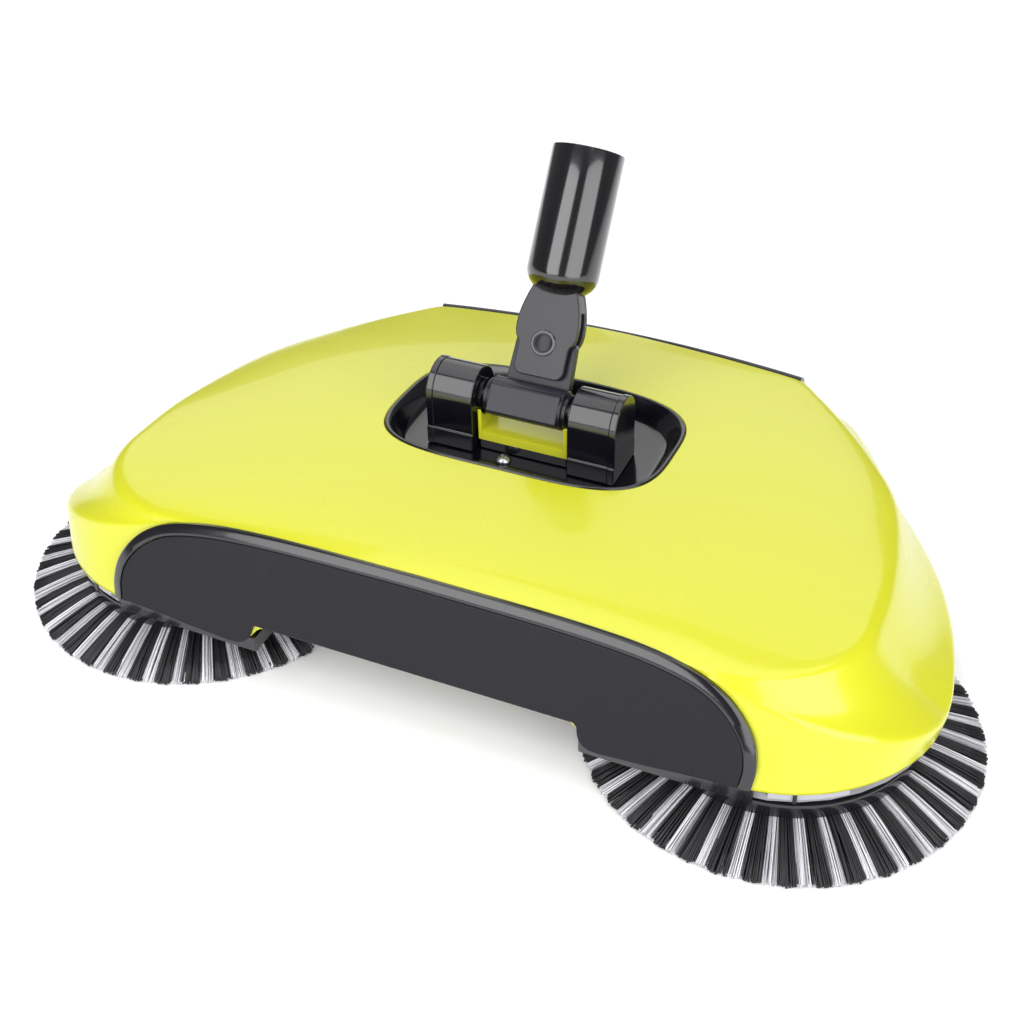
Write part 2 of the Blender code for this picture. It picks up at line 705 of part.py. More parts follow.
def crown_gear(name, side):
    """The face gear on a side brush's spindle, with its teeth upwards."""
    low, root, tip = CROWN_PITCH_Z - 5.0, CROWN_PITCH_Z - 1.7, CROWN_PITCH_Z + 0.5
    centre = (BRUSH_X * side, 0.0, low)
    bm = bmesh.new()
    outer, inner, bore = CROWN_R + 3.2, CROWN_R - 3.0, SPINDLE_R + 0.3
    profile = [(bore, low), (outer, low), (outer, root), (inner, root)]
    profile += [(inner, root - 1.0), (bore, root - 1.0)]
    turned(bm, [(r, z - low) for r, z in profile], centre, (0, 0, 1), (1, 0, 0), 16)
    gear = finish(bm, name, acetal(), origin=centre)
    teeth = bmesh.new()
    pitch = 2 * math.pi / CROWN_TEETH
    for index in range(CROWN_TEETH):
        turn = pitch * (index + 0.5)
        out = Vector((math.cos(turn), math.sin(turn), 0))
        across = Vector((-out.y, out.x, 0))
        outline = []
        for radius in (CROWN_R - 2.6, CROWN_R + 2.8):
            for share in (-0.17, 0.17):
                outline.append(Vector(centre) + out * radius + across * (share * pitch * radius))
        near_low, near_high, far_low, far_high = outline
        foot = [near_low, near_high, far_high, far_low]
        verts = prism(teeth, [p + Vector((0, 0, root - low - 0.6)) for p in foot], (0, 0, tip - root + 0.6))
        top = [vert for vert in verts if vert.co.z > tip - 0.1]
        for vert in top:
            middle = Vector(centre) + out * (vert.co - Vector(centre)).dot(out)
            side_way = (vert.co - middle).dot(across)
            vert.co -= across * side_way * 0.5
    join(gear, finish(teeth, name + "_teeth", acetal()))


def drive_train():
    axle = (0.0, 0.0, AXLE_Z)
    lay = (0.0, 0.0, LAY_Z)
    idler = (GEAR_IN, IDLER_Y, IDLER_Z)
    roller = (0.0, ROLLER_Y, ROLLER_Z)
    bore = AXLE_R + 0.3

    bm = bmesh.new()
    rod(bm, (-SIDE_OUT - 3, 0, AXLE_Z), (SIDE_OUT + 3, 0, AXLE_Z), AXLE_R)
    finish(bm, "wheel_axle", steel(), origin=axle)
    up = math.pi / 2
    step = 2 * math.pi / AXLE_TEETH
    gap = -up + math.pi / LAY_TEETH
    for side, name in ((-1, "left"), (1, "right")):
        low, high = sorted((GEAR_IN * side, GEAR_OUT * side))
        spur_gear(f"axle_gear_{name}", AXLE_TEETH, axle, low, high, bore, up, acetal())
        spur_gear(f"cross_gear_{name}", LAY_TEETH, lay, low, high, bore, gap, acetal())
        bm = bmesh.new()
        rod(bm, (LAY_START * side, 0, LAY_Z), (LAY_END * side, 0, LAY_Z), AXLE_R)
        finish(bm, f"cross_shaft_{name}", steel(), origin=(LAY_START * side, 0.0, LAY_Z))
    to_idler = math.atan2(IDLER_Z - AXLE_Z, IDLER_Y)

    # A tooth of one gear stands in a gap of the next along the line between their centres.
    offset = ((to_idler - up) / step) % 1.0
    idler_step = 2 * math.pi / IDLER_TEETH
    idler_phase = to_idler + math.pi + idler_step * (0.5 + offset)
    spur_gear("idler_gear", IDLER_TEETH, idler, GEAR_IN, GEAR_OUT, bore, idler_phase, acetal())
    back = ((to_idler - idler_phase) / idler_step) % 1.0
    roller_step = 2 * math.pi / ROLLER_TEETH
    roller_phase = to_idler + math.pi + roller_step * (0.5 + back)
    spur_gear("roller_gear", ROLLER_TEETH, roller, GEAR_IN, GEAR_OUT, bore, roller_phase, acetal())

    bm = bmesh.new()
    rod(bm, (GEAR_IN - 2.2, IDLER_Y, IDLER_Z), (SIDE_OUT + 1.0, IDLER_Y, IDLER_Z), AXLE_R)
    finish(bm, "idler_pin", steel(), origin=idler)

    for side, name in ((-1, "left"), (1, "right")):
        crown_gear(f"brush_gear_{name}", side)
        x = (BRUSH_X + CROWN_R) * side
        low, high = x - 2.4, x + 2.4
        phase = -math.pi / 2
        spur_gear(f"brush_pinion_{name}", LAY_TEETH, (x, 0.0, LAY_Z), low, high, bore, phase, acetal())


# The side brushes


def side_brush(name, side):
    centre = (BRUSH_X * side, 0.0, DISC_BOTTOM)
    bm = bmesh.new()
    top, r = DISC_TOP - DISC_BOTTOM, DISC_R
    bore = SPINDLE_R + 0.3
    profile = [(bore, 1.0), (38.0, 1.0), (43.0, 0.0), (r, 0.0), (r, top - 1.2), (r - 1.5, top)]
    profile += [(r - 6.0, top), (r - 8.5, 3.6), (8.0, 3.6), (8.0, top), (bore, top)]
    turned(bm, profile, centre, (0, 0, 1), (1, 0, 0), 28)
    finish(bm, f"brush_disc_{name}", black(), origin=centre)

    bm = bmesh.new()
    profile = [(44.0, 5.6), (47.0, 8.6), (50.6, 8.8), (60.0, 6.3), (BRUSH_TIP_R, 1.4)]
    profile += [(BRUSH_TIP_R, 0.0), (66.0, 0.4), (54.0, 3.2)]
    centre = (BRUSH_X * side, 0.0, 0.0)
    turned(bm, profile, centre, (0, 0, 1), (1, 0, 0), 32)
    finish(bm, f"brush_bristles_{name}", bristle(), origin=centre)

    bm = bmesh.new()
    low = DISC_BOTTOM + 1.2
    rod(bm, (BRUSH_X * side, 0, low), (BRUSH_X * side, 0, SPINDLE_TOP), SPINDLE_R)
    finish(bm, f"brush_spindle_{name}", steel(), origin=(BRUSH_X * side, 0, low))


# Wheels


def wheel(name, side):
    middle = (WHEEL_IN + WHEEL_OUT) / 2 * side
    half = (WHEEL_OUT - WHEEL_IN) / 2
    centre = (middle, 0.0, AXLE_Z)
    bm = bmesh.new()
    bore = AXLE_R + 0.3
    profile = [(bore, -half - 1.0), (6.0, -half - 1.0), (7.0, -1.5), (17.0, -1.5), (18.5, -half + 0.6)]
    profile += [(RIM_R, -half + 0.6), (RIM_R, half - 0.6), (18.5, half - 0.6), (17.0, 1.5), (7.0, 1.5)]
    profile += [(6.0, half + 1.0), (bore, half + 1.0)]
    turned(bm, profile, centre, (1, 0, 0), (0, 0, 1), 20)
    finish(bm, f"wheel_{name}", frame_grey(), origin=centre)
    bm = bmesh.new()
    inside = RIM_R + 0.3
    profile = [(inside, -half), (TYRE_R - 0.8, -half), (TYRE_R, -half + 1.2), (TYRE_R, half - 1.2)]
    profile += [(TYRE_R - 0.8, half), (inside, half)]
    turned(bm, profile, centre, (1, 0, 0), (0, 0, -1), 32)
    finish(bm, f"tyre_{name}", rubber(), origin=centre)


# The roller brush


def roller_brush():
    centre = (0.0, ROLLER_Y, ROLLER_Z)
    bm = bmesh.new()
    rod(bm, (-SIDE_OUT - 1, ROLLER_Y, ROLLER_Z), (SIDE_OUT + 1, ROLLER_Y, ROLLER_Z), AXLE_R)
    finish(bm, "roller_shaft", steel(), origin=centre)
    bm = bmesh.new()
    half, bore = ROLLER_HALF + 1.0, AXLE_R + 0.3
    profile = [(bore, -half), (ROLLER_CORE_R, -half), (ROLLER_CORE_R, half), (bore, half)]
    turned(bm, profile, centre, (1, 0, 0), (0, 0, 1), 20)
    finish(bm, "roller_core", black(), origin=centre)
    bm = bmesh.new()
    outline = []
    rows = 12
    for index in range(rows):
        for share, radius in ((-0.3, 12.2), (-0.22, ROLLER_R), (0.22, ROLLER_R), (0.3, 12.2)):
            turn = -math.pi / 2 + (index + share) * 2 * math.pi / rows
            outline.append((turn, radius))
    points = [(-ROLLER_HALF, ROLLER_Y + r * math.cos(a), ROLLER_Z + r * math.sin(a)) for a, r in outline]
    prism(bm, points, (2 * ROLLER_HALF, 0, 0))
    tufts = finish(bm, "roller_bristles", bristle(), origin=centre)
    bm = bmesh.new()
    rod(bm, (-60, ROLLER_Y, ROLLER_Z), (60, ROLLER_Y, ROLLER_Z), ROLLER_CORE_R + 0.3, 20)
    cut(tufts, finish(bm, "roller_hollow", bristle()))


# The frame


def inset_loop(loop, inset):
    """Move a flat loop inwards by some millimetres."""
    found = []
    for index, point in enumerate(loop):
        run = loop[(index + 1) % len(loop)] - loop[index - 1]
        inward = Vector((-run.y, run.x, 0)).normalized()
        found.append(point + inward * inset)
    return found


def base_frame():
    """The flat plate under the cover that carries the brushes, the gearbox sides and the drawer."""
    bottom = whole_loop(bottom_loop())
    edge = inset_loop(bottom, 3.0)
    bm = bmesh.new()
    prism(bm, [(p.x, p.y, FRAME_LOW) for p in edge], (0, 0, FRAME_TOP - FRAME_LOW))
    frame = finish(bm, "base_frame", frame_grey())
    for index, (low, high) in enumerate((
        ((-57.6, -29.0), (57.6, 73.0)),
        ((-87.8, 69.0), (87.8, 200.0)),
        ((-67.0, -70.0), (67.0, -38.0)),
    )):
        bm = bmesh.new()
        box(bm, (low[0], low[1], 10.0), (high[0], high[1], 30.0))
        cut(frame, finish(bm, f"frame_opening_{index}", frame_grey()))
    for side, name in ((-1, "left"), (1, "right")):
        x = BRUSH_X * side
        bm = bmesh.new()
        bore, foot, top = SPINDLE_R + 0.3, FRAME_LOW - 0.8, 31.0
        boss = [(bore, foot), (7.0, foot), (9.0, FRAME_TOP), (7.0, top), (bore, top)]
        turned(bm, boss, (x, 0, 0), (0, 0, 1), (1, 0, 0), 14)
        boss_obj = finish(bm, f"spindle_boss_{name}", frame_grey())
        bm = bmesh.new()
        rod(bm, (x, 0, 0), (x, 0, 40), 5.0, 14)
        cut(frame, finish(bm, f"spindle_hole_{name}", frame_grey()))
        join(frame, boss_obj)
        post_x = (BRUSH_X + CROWN_R + 6.0) * side
        bm = bmesh.new()
        half_wide = 4.5
        outline = [(-half_wide, FRAME_TOP - 1.0), (half_wide, FRAME_TOP - 1.0), (half_wide, LAY_Z + 2.0)]
        outline += [(2.4, LAY_Z + 4.6), (-2.4, LAY_Z + 4.6), (-half_wide, LAY_Z + 2.0)]
        prism(bm, [(post_x - 1.8, y, z) for y, z in outline], (3.6, 0, 0))
        post = finish(bm, f"bearing_post_{name}", frame_grey())
        bm = bmesh.new()
        rod(bm, (post_x - 5, 0, LAY_Z), (post_x + 5, 0, LAY_Z), AXLE_R + 0.3)
        cut(post, finish(bm, f"bearing_hole_{name}", frame_grey()))
        join(frame, post)
        for number, (px, py) in enumerate(COVER_POSTS):
            bm = bmesh.new()
            top = COVER_POST_TOPS[number]
            rod(bm, (px * side, py, FRAME_TOP - 1.0), (px * side, py, top), 4.2, 10)
            join(frame, finish(bm, f"cover_post_{name}_{number}", frame_grey()))
            bm = bmesh.new()
            rod(bm, (px * side, py, 10.0), (px * side, py, FRAME_TOP + 14.0), 1.9, 8)
            cut(frame, finish(bm, f"cover_screw_hole_{name}_{number}", frame_grey()))
    for number, (px, py) in enumerate(SIDE_SCREWS):
        for side, name in ((-1, "left"), (1, "right")):
            bm = bmesh.new()
            rod(bm, (px * side, py, 10.0), (px * side, py, 30.0), 1.9, 8)
            cut(frame, finish(bm, f"side_screw_hole_{name}_{number}", frame_grey()))


COVER_POSTS = ((100.0, 118.0), (156.0, 50.0))
COVER_POST_TOPS = (47.0, 35.0)
SIDE_SCREWS = ((61.5, 8.0), (61.5, 56.0))


def cover_screws():
    for side, name in ((-1, "left"), (1, "right")):
        for number, (px, py) in enumerate(COVER_POSTS):
            spot = (px * side, py, FRAME_LOW - 0.3)
            screw(f"cover_screw_{name}_{number + 1}", spot, -1, length=12.0)
        for number, (px, py) in enumerate(SIDE_SCREWS):
            spot = (px * side, py, FRAME_TOP + 0.4 + 2.4)
            screw(f"gearbox_screw_{name}_{number + 1}", spot, 1, head_r=3.0, length=5.2)


def gearbox_side(name, side):
    """An upright plate that carries the axle, the cross shaft and the roller."""
    bm = bmesh.new()
    outline = [(-16.0, 11.0), (16.0, 7.5), (59.0, 7.5), (63.5, 12.0), (63.5, 26.0), (48.0, 33.0)]
    outline += [(24.0, 46.0)]
    outline += [(8.0, SIDE_TOP), (-8.0, SIDE_TOP), (-16.0, 46.0)]
    x = SIDE_IN * side
    prism(bm, [(x, y, z) for y, z in outline], ((SIDE_OUT - SIDE_IN) * side, 0, 0))
    plate = finish(bm, f"gearbox_side_{name}", frame_grey(), origin=(x, 0, AXLE_Z))
    bm = bmesh.new()
    low, high = sorted(((SIDE_OUT - 1.0) * side, 66.5 * side))
    box(bm, (low, -12.0, FRAME_TOP + 0.4), (high, 62.0, FRAME_TOP + 2.8 - 0.3))
    join(plate, finish(bm, f"gearbox_foot_{name}", frame_grey()))
    bores = ((0.0, AXLE_Z), (0.0, LAY_Z), (ROLLER_Y, ROLLER_Z), (IDLER_Y, IDLER_Z))
    for number, (y, z) in enumerate(bores):
        bm = bmesh.new()
        rod(bm, (x - 12 * side, y, z), (x + 20 * side, y, z), AXLE_R + 0.3)
        cut(plate, finish(bm, f"gearbox_bore_{name}_{number}", frame_grey()))
    for number, (px, py) in enumerate(SIDE_SCREWS):
        bm = bmesh.new()
        rod(bm, (px * side, py, 10.0), (px * side, py, 30.0), 1.9, 8)
        cut(plate, finish(bm, f"gearbox_screw_hole_{name}_{number}", frame_grey()))


# The dust drawer at the back


def dust_drawer():
    """An open tray with a low, sloping front lip and a curved face that closes the back."""
    bm = bmesh.new()
    box(bm, (-TRAY_HALF, TRAY_FRONT, TRAY_LOW), (TRAY_HALF, TRAY_BACK, TRAY_TOP))
    drawer = finish(bm, "dust_drawer", satin(), origin=(0, TRAY_BACK, TRAY_LOW))
    bm = bmesh.new()
    half = TRAY_HALF - TRAY_WALL
    front, back = TRAY_FRONT + TRAY_WALL, TRAY_BACK - TRAY_WALL - 1.0
    box(bm, (-half, front, TRAY_LOW + TRAY_WALL), (half, back, TRAY_TOP + 5))
    cut(drawer, finish(bm, "tray_hollow", satin()))
    bm = bmesh.new()
    box(bm, (-half, TRAY_FRONT - 5, TRAY_LOW + 9.0), (half, TRAY_FRONT + 5, TRAY_TOP + 5))
    cut(drawer, finish(bm, "tray_mouth", satin()))

    steps, half = 10, DRAWER_HALF
    bm = bmesh.new()
    columns = []
    for step in range(steps + 1):
        x = -half + 2 * half * step / steps
        lip = rear_edge(x) + 0.4
        bow = 1.6 * (1 - (x / half) ** 2)
        top = crown(x, lip) - 0.1
        rows = [(lip, 45.0), (lip, top), (lip + 1.9, top - 0.2), (164.0 + bow, 44.0), (173.0 + bow, 28.5)]
        rows += [(173.4 + bow, 14.0), (171.8 + bow, TRAY_LOW + 4.0), (TRAY_BACK - 1.0, TRAY_LOW + 1.0)]
        rows += [(TRAY_BACK - 1.0, TRAY_LOW + 3.5), (169.0 + bow, TRAY_LOW + 6.5), (170.4 + bow, 16.0)]
        rows += [(170.2 + bow, 28.0), (161.6 + bow, 42.6)]
        columns.append([bm.verts.new((x, y, z)) for y, z in rows])
    for first, second in zip(columns, columns[1:]):
        for index in range(len(first)):
            bm.faces.new((first[index - 1], second[index - 1], second[index], first[index]))
    bm.faces.new(columns[0])
    bm.faces.new(list(reversed(columns[-1])))
    join(drawer, finish(bm, "drawer_face", satin()))
    bm = bmesh.new()
    box(bm, (-24.0, 165.0, 4.0), (24.0, 185.0, 13.0))
    cut(drawer, finish(bm, "finger_recess", satin()))


def drawer_runner(name, side):
    """The angle on which the drawer slides, with the stub that carries a small rear wheel."""
    x_in, x_out = 78.0, 86.6
    bm = bmesh.new()
    outline = [(x_in, 2.7), (x_out, 2.7), (x_out, 14.0), (x_out + 7.0, 14.0), (x_out + 7.0, FRAME_LOW - 0.3)]
    outline += [(x_out - 2.0, FRAME_LOW - 0.3), (x_out - 2.0, 4.7), (x_in, 4.7)]
    prism(bm, [(x * side, 78.0, z) for x, z in outline], (0, 74.0, 0))
    runner = finish(bm, f"drawer_runner_{name}", frame_grey(), origin=(x_out * side, 78.0, 14.0))
    bm = bmesh.new()
    low, high = x_out, x_out + 9.0
    low, high = sorted((low * side, high * side))
    box(bm, (low, REAR_WHEEL_Y - 10.5, 0.0), (high, REAR_WHEEL_Y + 10.5, FRAME_LOW + 1.0))
    cut(runner, finish(bm, f"rear_wheel_arch_{name}", frame_grey()))
    bm = bmesh.new()
    y, z = REAR_WHEEL_Y, REAR_WHEEL_R
    rod(bm, ((x_out - 5) * side, y, z), ((x_out + 20) * side, y, z), 1.9, 8)
    cut(runner, finish(bm, f"rear_stub_hole_{name}", frame_grey()))

    bm = bmesh.new()
    rod(bm, ((x_out - 1.9) * side, y, z), ((x_out + 7.0) * side, y, z), 1.6, 8)
    finish(bm, f"rear_stub_{name}", steel(), origin=(x_out * side, REAR_WHEEL_Y, REAR_WHEEL_R))
    bm = bmesh.new()
    centre = ((x_out + 3.6) * side, REAR_WHEEL_Y, REAR_WHEEL_R)
    r = REAR_WHEEL_R
    profile = [(1.9, -3.0), (r - 0.6, -3.0), (r, -2.4), (r, 2.4), (r - 0.6, 3.0), (1.9, 3.0)]
    turned(bm, profile, centre, (1, 0, 0), (0, 0, -1), 16)
    finish(bm, f"rear_wheel_{name}", black(), origin=centre)


def build():
    for obj in list(bpy.data.objects):
        bpy.data.objects.remove(obj)
    top_cover()
    front_bezel()
    front_panel()
    handle_well()
    screw("well_screw", (WELL_SCREW[0], WELL_SCREW[1], WELL_FLOOR + 0.3), 1)
    bar_saddle()
    cross_bar()
    tilt_pin()
    swivel_pin()
    socket_fork()
    base_frame()
    cover_screws()
    drive_train()
    roller_brush()
    dust_drawer()
    for side, name in ((-1, "left"), (1, "right")):
        ear(f"bearing_ear_{name}", side)
        side_brush(name, side)
        wheel(name, side)
        gearbox_side(name, side)
        drawer_runner(name, side)


build()
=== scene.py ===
"""Looks of a push-along carpet sweeper head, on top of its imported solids.

Lengths in the modelling functions are millimetres: x to the right, y to the back measured from the
line through both side brushes, and z up from the floor.  place() turns them into the part's metres.
"""

import math
import random

import bmesh
import bpy
from mathutils import Matrix, Vector


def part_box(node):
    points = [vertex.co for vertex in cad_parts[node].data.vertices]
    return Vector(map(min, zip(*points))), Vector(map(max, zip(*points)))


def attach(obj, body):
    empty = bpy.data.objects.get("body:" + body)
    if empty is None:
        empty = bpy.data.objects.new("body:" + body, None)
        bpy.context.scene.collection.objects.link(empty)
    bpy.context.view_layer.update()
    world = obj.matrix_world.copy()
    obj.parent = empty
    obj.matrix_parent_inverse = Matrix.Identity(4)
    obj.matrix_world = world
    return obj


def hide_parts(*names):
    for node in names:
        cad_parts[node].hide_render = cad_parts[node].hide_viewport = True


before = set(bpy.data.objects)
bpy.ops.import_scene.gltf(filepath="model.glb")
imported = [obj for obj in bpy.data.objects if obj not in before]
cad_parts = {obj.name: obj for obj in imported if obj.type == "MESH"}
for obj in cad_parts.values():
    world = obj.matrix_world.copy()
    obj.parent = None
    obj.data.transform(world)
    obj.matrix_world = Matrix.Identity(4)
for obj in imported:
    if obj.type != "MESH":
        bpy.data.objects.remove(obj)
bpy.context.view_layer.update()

scene = bpy.context.scene

# Sizes shared by several pieces, in millimetres
BRUSH_LINE = 49.85  # the side brushes' line, in front of the part's middle
BRUSH_X, TIP_R = 124.7, 75.3
SKIRT_Z, CREASE_Z = 22.0, 27.0
LOBE_LIFT, LIP_LOW, CATCH_X = 2.4, 20.4, 142.9
PLATE_FOOT, RIM_FOOT, NEAR_DECK = 3.0, 3.2, 10.0
FRONT_Y, FRONT_LEAN = -57.0, 0.32
WELL_Y, WELL_A, WELL_B, WELL_POWER, WELL_FLOOR = 61.6, 59.6, 39.6, 3.45, 57.0
TILT_Y, TILT_Z, LEAN = 56.7, 78.9, math.radians(33.5)
EAR_IN, EAR_OUT, EAR_R = 20.5, 40.5, 11.2
BAR_R, BAR_HALF, PIN_R = 8.0, 17.6, 2.4
SWIVEL_UP, HANDLE_BACK = 24.2, -6.5
SOCKET_R, SOCKET_BORE_R = 14.7, 11.2
AXLE_Z, TYRE_R, RIM_R = 25.0, 25.0, 21.5
ROLLER_Z, ROLLER_R, ROLLER_HALF = 16.6, 16.0, 44.0
DRAWER_HALF = 86.5
ROOT = "frame_and_cover"


def place(point):
    return Vector((point[0], point[1] - BRUSH_LINE, point[2])) * 0.001


# Camera


def camera():
    data = bpy.data.cameras.new("camera")
    data.lens, data.sensor_width = 52.44, 36.0
    data.clip_start, data.clip_end = 0.01, 20.0
    eye = bpy.data.objects.new("camera", data)
    scene.collection.objects.link(eye)
    azimuth, elevation, roll = math.radians(25.02), math.radians(37.28), math.radians(-1.53)
    back = Vector((
        math.sin(azimuth) * math.cos(elevation),
        -math.cos(azimuth) * math.cos(elevation),
        math.sin(elevation),
    ))
    eye.location = place((197.37, -391.93, 401.22))
    turn = (-back).to_track_quat("-Z", "Y").to_matrix().to_4x4()
    eye.matrix_world = Matrix.Translation(eye.location) @ turn @ Matrix.Rotation(roll, 4, "Z")
    scene.camera = eye


camera()

# Materials


class Nodes:
    """A material's shader tree, built a node at a time."""

    def __init__(self, name):
        self.look = bpy.data.materials.new(name)
        self.look.use_nodes = True
        self.tree = self.look.node_tree
        self.shader = self.tree.nodes["Principled BSDF"]
        self.place = self.new("ShaderNodeTexCoord").outputs["Object"]

    def new(self, kind, **values):
        node = self.tree.nodes.new(kind)
        for key, value in values.items():
            setattr(node, key, value)
        return node

    def link(self, output, entry):
        self.tree.links.new(output, entry)

    def set(self, **values):
        for key, value in values.items():
            self.shader.inputs[key.replace("_", " ")].default_value = value

    def stretched(self, scale, location=(0, 0, 0), turn=(0, 0, 0), source=None):
        node = self.new("ShaderNodeMapping")
        node.inputs["Scale"].default_value = scale
        node.inputs["Location"].default_value = location
        node.inputs["Rotation"].default_value = turn
        self.link(source or self.place, node.inputs["Vector"])
        return node.outputs["Vector"]

    def noise(self, scale, detail=3.0, rough=0.5, source=None):
        node = self.new("ShaderNodeTexNoise")
        node.inputs["Scale"].default_value = scale
        node.inputs["Detail"].default_value = detail
        node.inputs["Roughness"].default_value = rough
        self.link(source or self.place, node.inputs["Vector"])
        return node.outputs["Fac"]

    def span(self, value, low, high, to_low=0.0, to_high=1.0):
        node = self.new("ShaderNodeMapRange")
        node.inputs["From Min"].default_value = low
        node.inputs["From Max"].default_value = high
        node.inputs["To Min"].default_value = to_low
        node.inputs["To Max"].default_value = to_high
        self.link(value, node.inputs["Value"])
        return node.outputs["Result"]

    def mix(self, share, first, second):
        """Blend two colours; each may be a colour, a number or another node's output."""
        node = self.new("ShaderNodeMix", data_type="RGBA")
        factor, a, b = node.inputs[0], node.inputs[6], node.inputs[7]
        for socket, value in ((factor, share), (a, first), (b, second)):
            if isinstance(value, tuple):
                socket.default_value = (*value, 1.0)
            elif isinstance(value, float):
                socket.default_value = value
            else:
                self.link(value, socket)
        return node.outputs[2]

    def bump(self, height, distance, strength=1.0):
        node = self.new("ShaderNodeBump")
        node.inputs["Distance"].default_value = distance
        node.inputs["Strength"].default_value = strength
        self.link(height, node.inputs["Height"])
        self.link(node.outputs["Normal"], self.shader.inputs["Normal"])


def worn_edges(nodes):
    """How far a spot stands out as an edge, from 0 to 1."""
    point = nodes.new("ShaderNodeNewGeometry").outputs["Pointiness"]
    return nodes.span(point, 0.51, 0.56)


def moulded(name, colour, low, high, grain, grain_depth, fleck=0.06, coat=0.0, shine=0.5):
    """Moulded plastic: a slow change of tone, smudges in its gloss, a grain, and paler rubbed edges."""
    nodes = Nodes(name)
    darker = tuple(part * 0.86 for part in colour)
    paler = tuple(min(1.0, part * 1.5 + fleck) for part in colour)
    tone = nodes.mix(nodes.noise(14.0), darker, colour)
    tone = nodes.mix(nodes.span(worn_edges(nodes), 0.0, 1.0, 0.0, 0.35), tone, paler)
    nodes.link(tone, nodes.shader.inputs["Base Color"])
    smudge = nodes.span(nodes.noise(38.0, 3.0, 0.5), 0.2, 0.8, low, high)
    nodes.link(smudge, nodes.shader.inputs["Roughness"])
    nodes.bump(nodes.noise(grain, 2.0, 0.6), grain_depth)
    nodes.set(Coat_Weight=coat, Coat_Roughness=0.06, IOR=1.5, Specular_IOR_Level=shine)
    return nodes.look


def lime_gloss():
    """Polished lime moulding with a faint pull in the surface and fine dust in its gloss."""
    nodes = Nodes("lime gloss")
    cloud = nodes.noise(5.0, 2.0)
    tone = nodes.mix(cloud, (0.528, 0.541, 0.012), (0.568, 0.573, 0.018))
    nodes.link(tone, nodes.shader.inputs["Base Color"])
    haze = nodes.span(nodes.noise(22.0, 2.0, 0.5), 0.0, 1.0, 0.18, 0.34)
    nodes.link(haze, nodes.shader.inputs["Roughness"])
    nodes.bump(nodes.noise(18.0, 0.0, 0.3), 0.00006)
    nodes.set(Coat_Weight=0.35, Coat_Roughness=0.04, IOR=1.5)
    return nodes.look


def panel_grey():
    """Dark grey plate: fine spark grain, with a few specks of lint caught in it."""
    nodes = Nodes("panel grey")
    tone = nodes.mix(nodes.noise(9.0, 4.0), (0.0065, 0.0060, 0.0095), (0.0095, 0.0090, 0.0135))
    lint = nodes.span(nodes.noise(900.0, 1.0, 0.4), 0.83, 0.86, 0.0, 0.22)
    tone = nodes.mix(lint, tone, (0.20, 0.20, 0.22))
    nodes.link(tone, nodes.shader.inputs["Base Color"])
    sheen = nodes.span(nodes.noise(30.0, 4.0, 0.6), 0.3, 0.7, 0.38, 0.5)
    nodes.link(sheen, nodes.shader.inputs["Roughness"])
    nodes.bump(nodes.noise(1500.0, 2.0, 0.6), 0.00006)
    nodes.set(IOR=1.5, Specular_IOR_Level=0.22)
    return nodes.look


def drawn_steel():
    """Plated rod and screws: fine marks round the piece, darker in patches."""
    nodes = Nodes("drawn steel")
    lines = nodes.noise(40.0, 6.0, 0.7, nodes.stretched((60.0, 1.0, 1.0)))
    tone = nodes.mix(lines, (0.42, 0.42, 0.45), (0.68, 0.68, 0.70))
    nodes.link(tone, nodes.shader.inputs["Base Color"])
    nodes.link(nodes.span(lines, 0.3, 0.7, 0.22, 0.38), nodes.shader.inputs["Roughness"])
    nodes.bump(lines, 0.00003)
    nodes.set(Metallic=1.0)
    return nodes.look


def tyre_rubber():
    nodes = Nodes("tyre rubber")
    dust = nodes.span(nodes.noise(60.0, 5.0, 0.65), 0.45, 0.75, 0.0, 0.35)
    tone = nodes.mix(dust, (0.014, 0.014, 0.015), (0.06, 0.058, 0.055))
    nodes.link(tone, nodes.shader.inputs["Base Color"])
    nodes.bump(nodes.noise(700.0, 3.0, 0.6), 0.0001)
    nodes.set(Roughness=0.78, Specular_IOR_Level=0.3)
    return nodes.look


def nylon(name, dark, pale, rough):
    """Bristle filaments: each strand has a tone of its own and fine changes along it."""
    nodes = Nodes(name)
    own = nodes.new("ShaderNodeAttribute", attribute_name="strand").outputs["Fac"]
    fine = nodes.noise(500.0, 3.0, 0.6)
    blend = nodes.new("ShaderNodeMath", operation="MULTIPLY_ADD")
    nodes.link(fine, blend.inputs[0])
    blend.inputs[1].default_value = 0.35
    nodes.link(own, blend.inputs[2])
    tone = nodes.mix(nodes.span(blend.outputs[0], 0.1, 1.2), dark, pale)
    nodes.link(tone, nodes.shader.inputs["Base Color"])
    nodes.set(Roughness=rough, IOR=1.53)
    return nodes


def white_nylon():
    nodes = nylon("clear nylon", (0.33, 0.32, 0.37), (0.93, 0.93, 0.95), 0.35)
    nodes.set(Transmission_Weight=0.12)
    return nodes.look


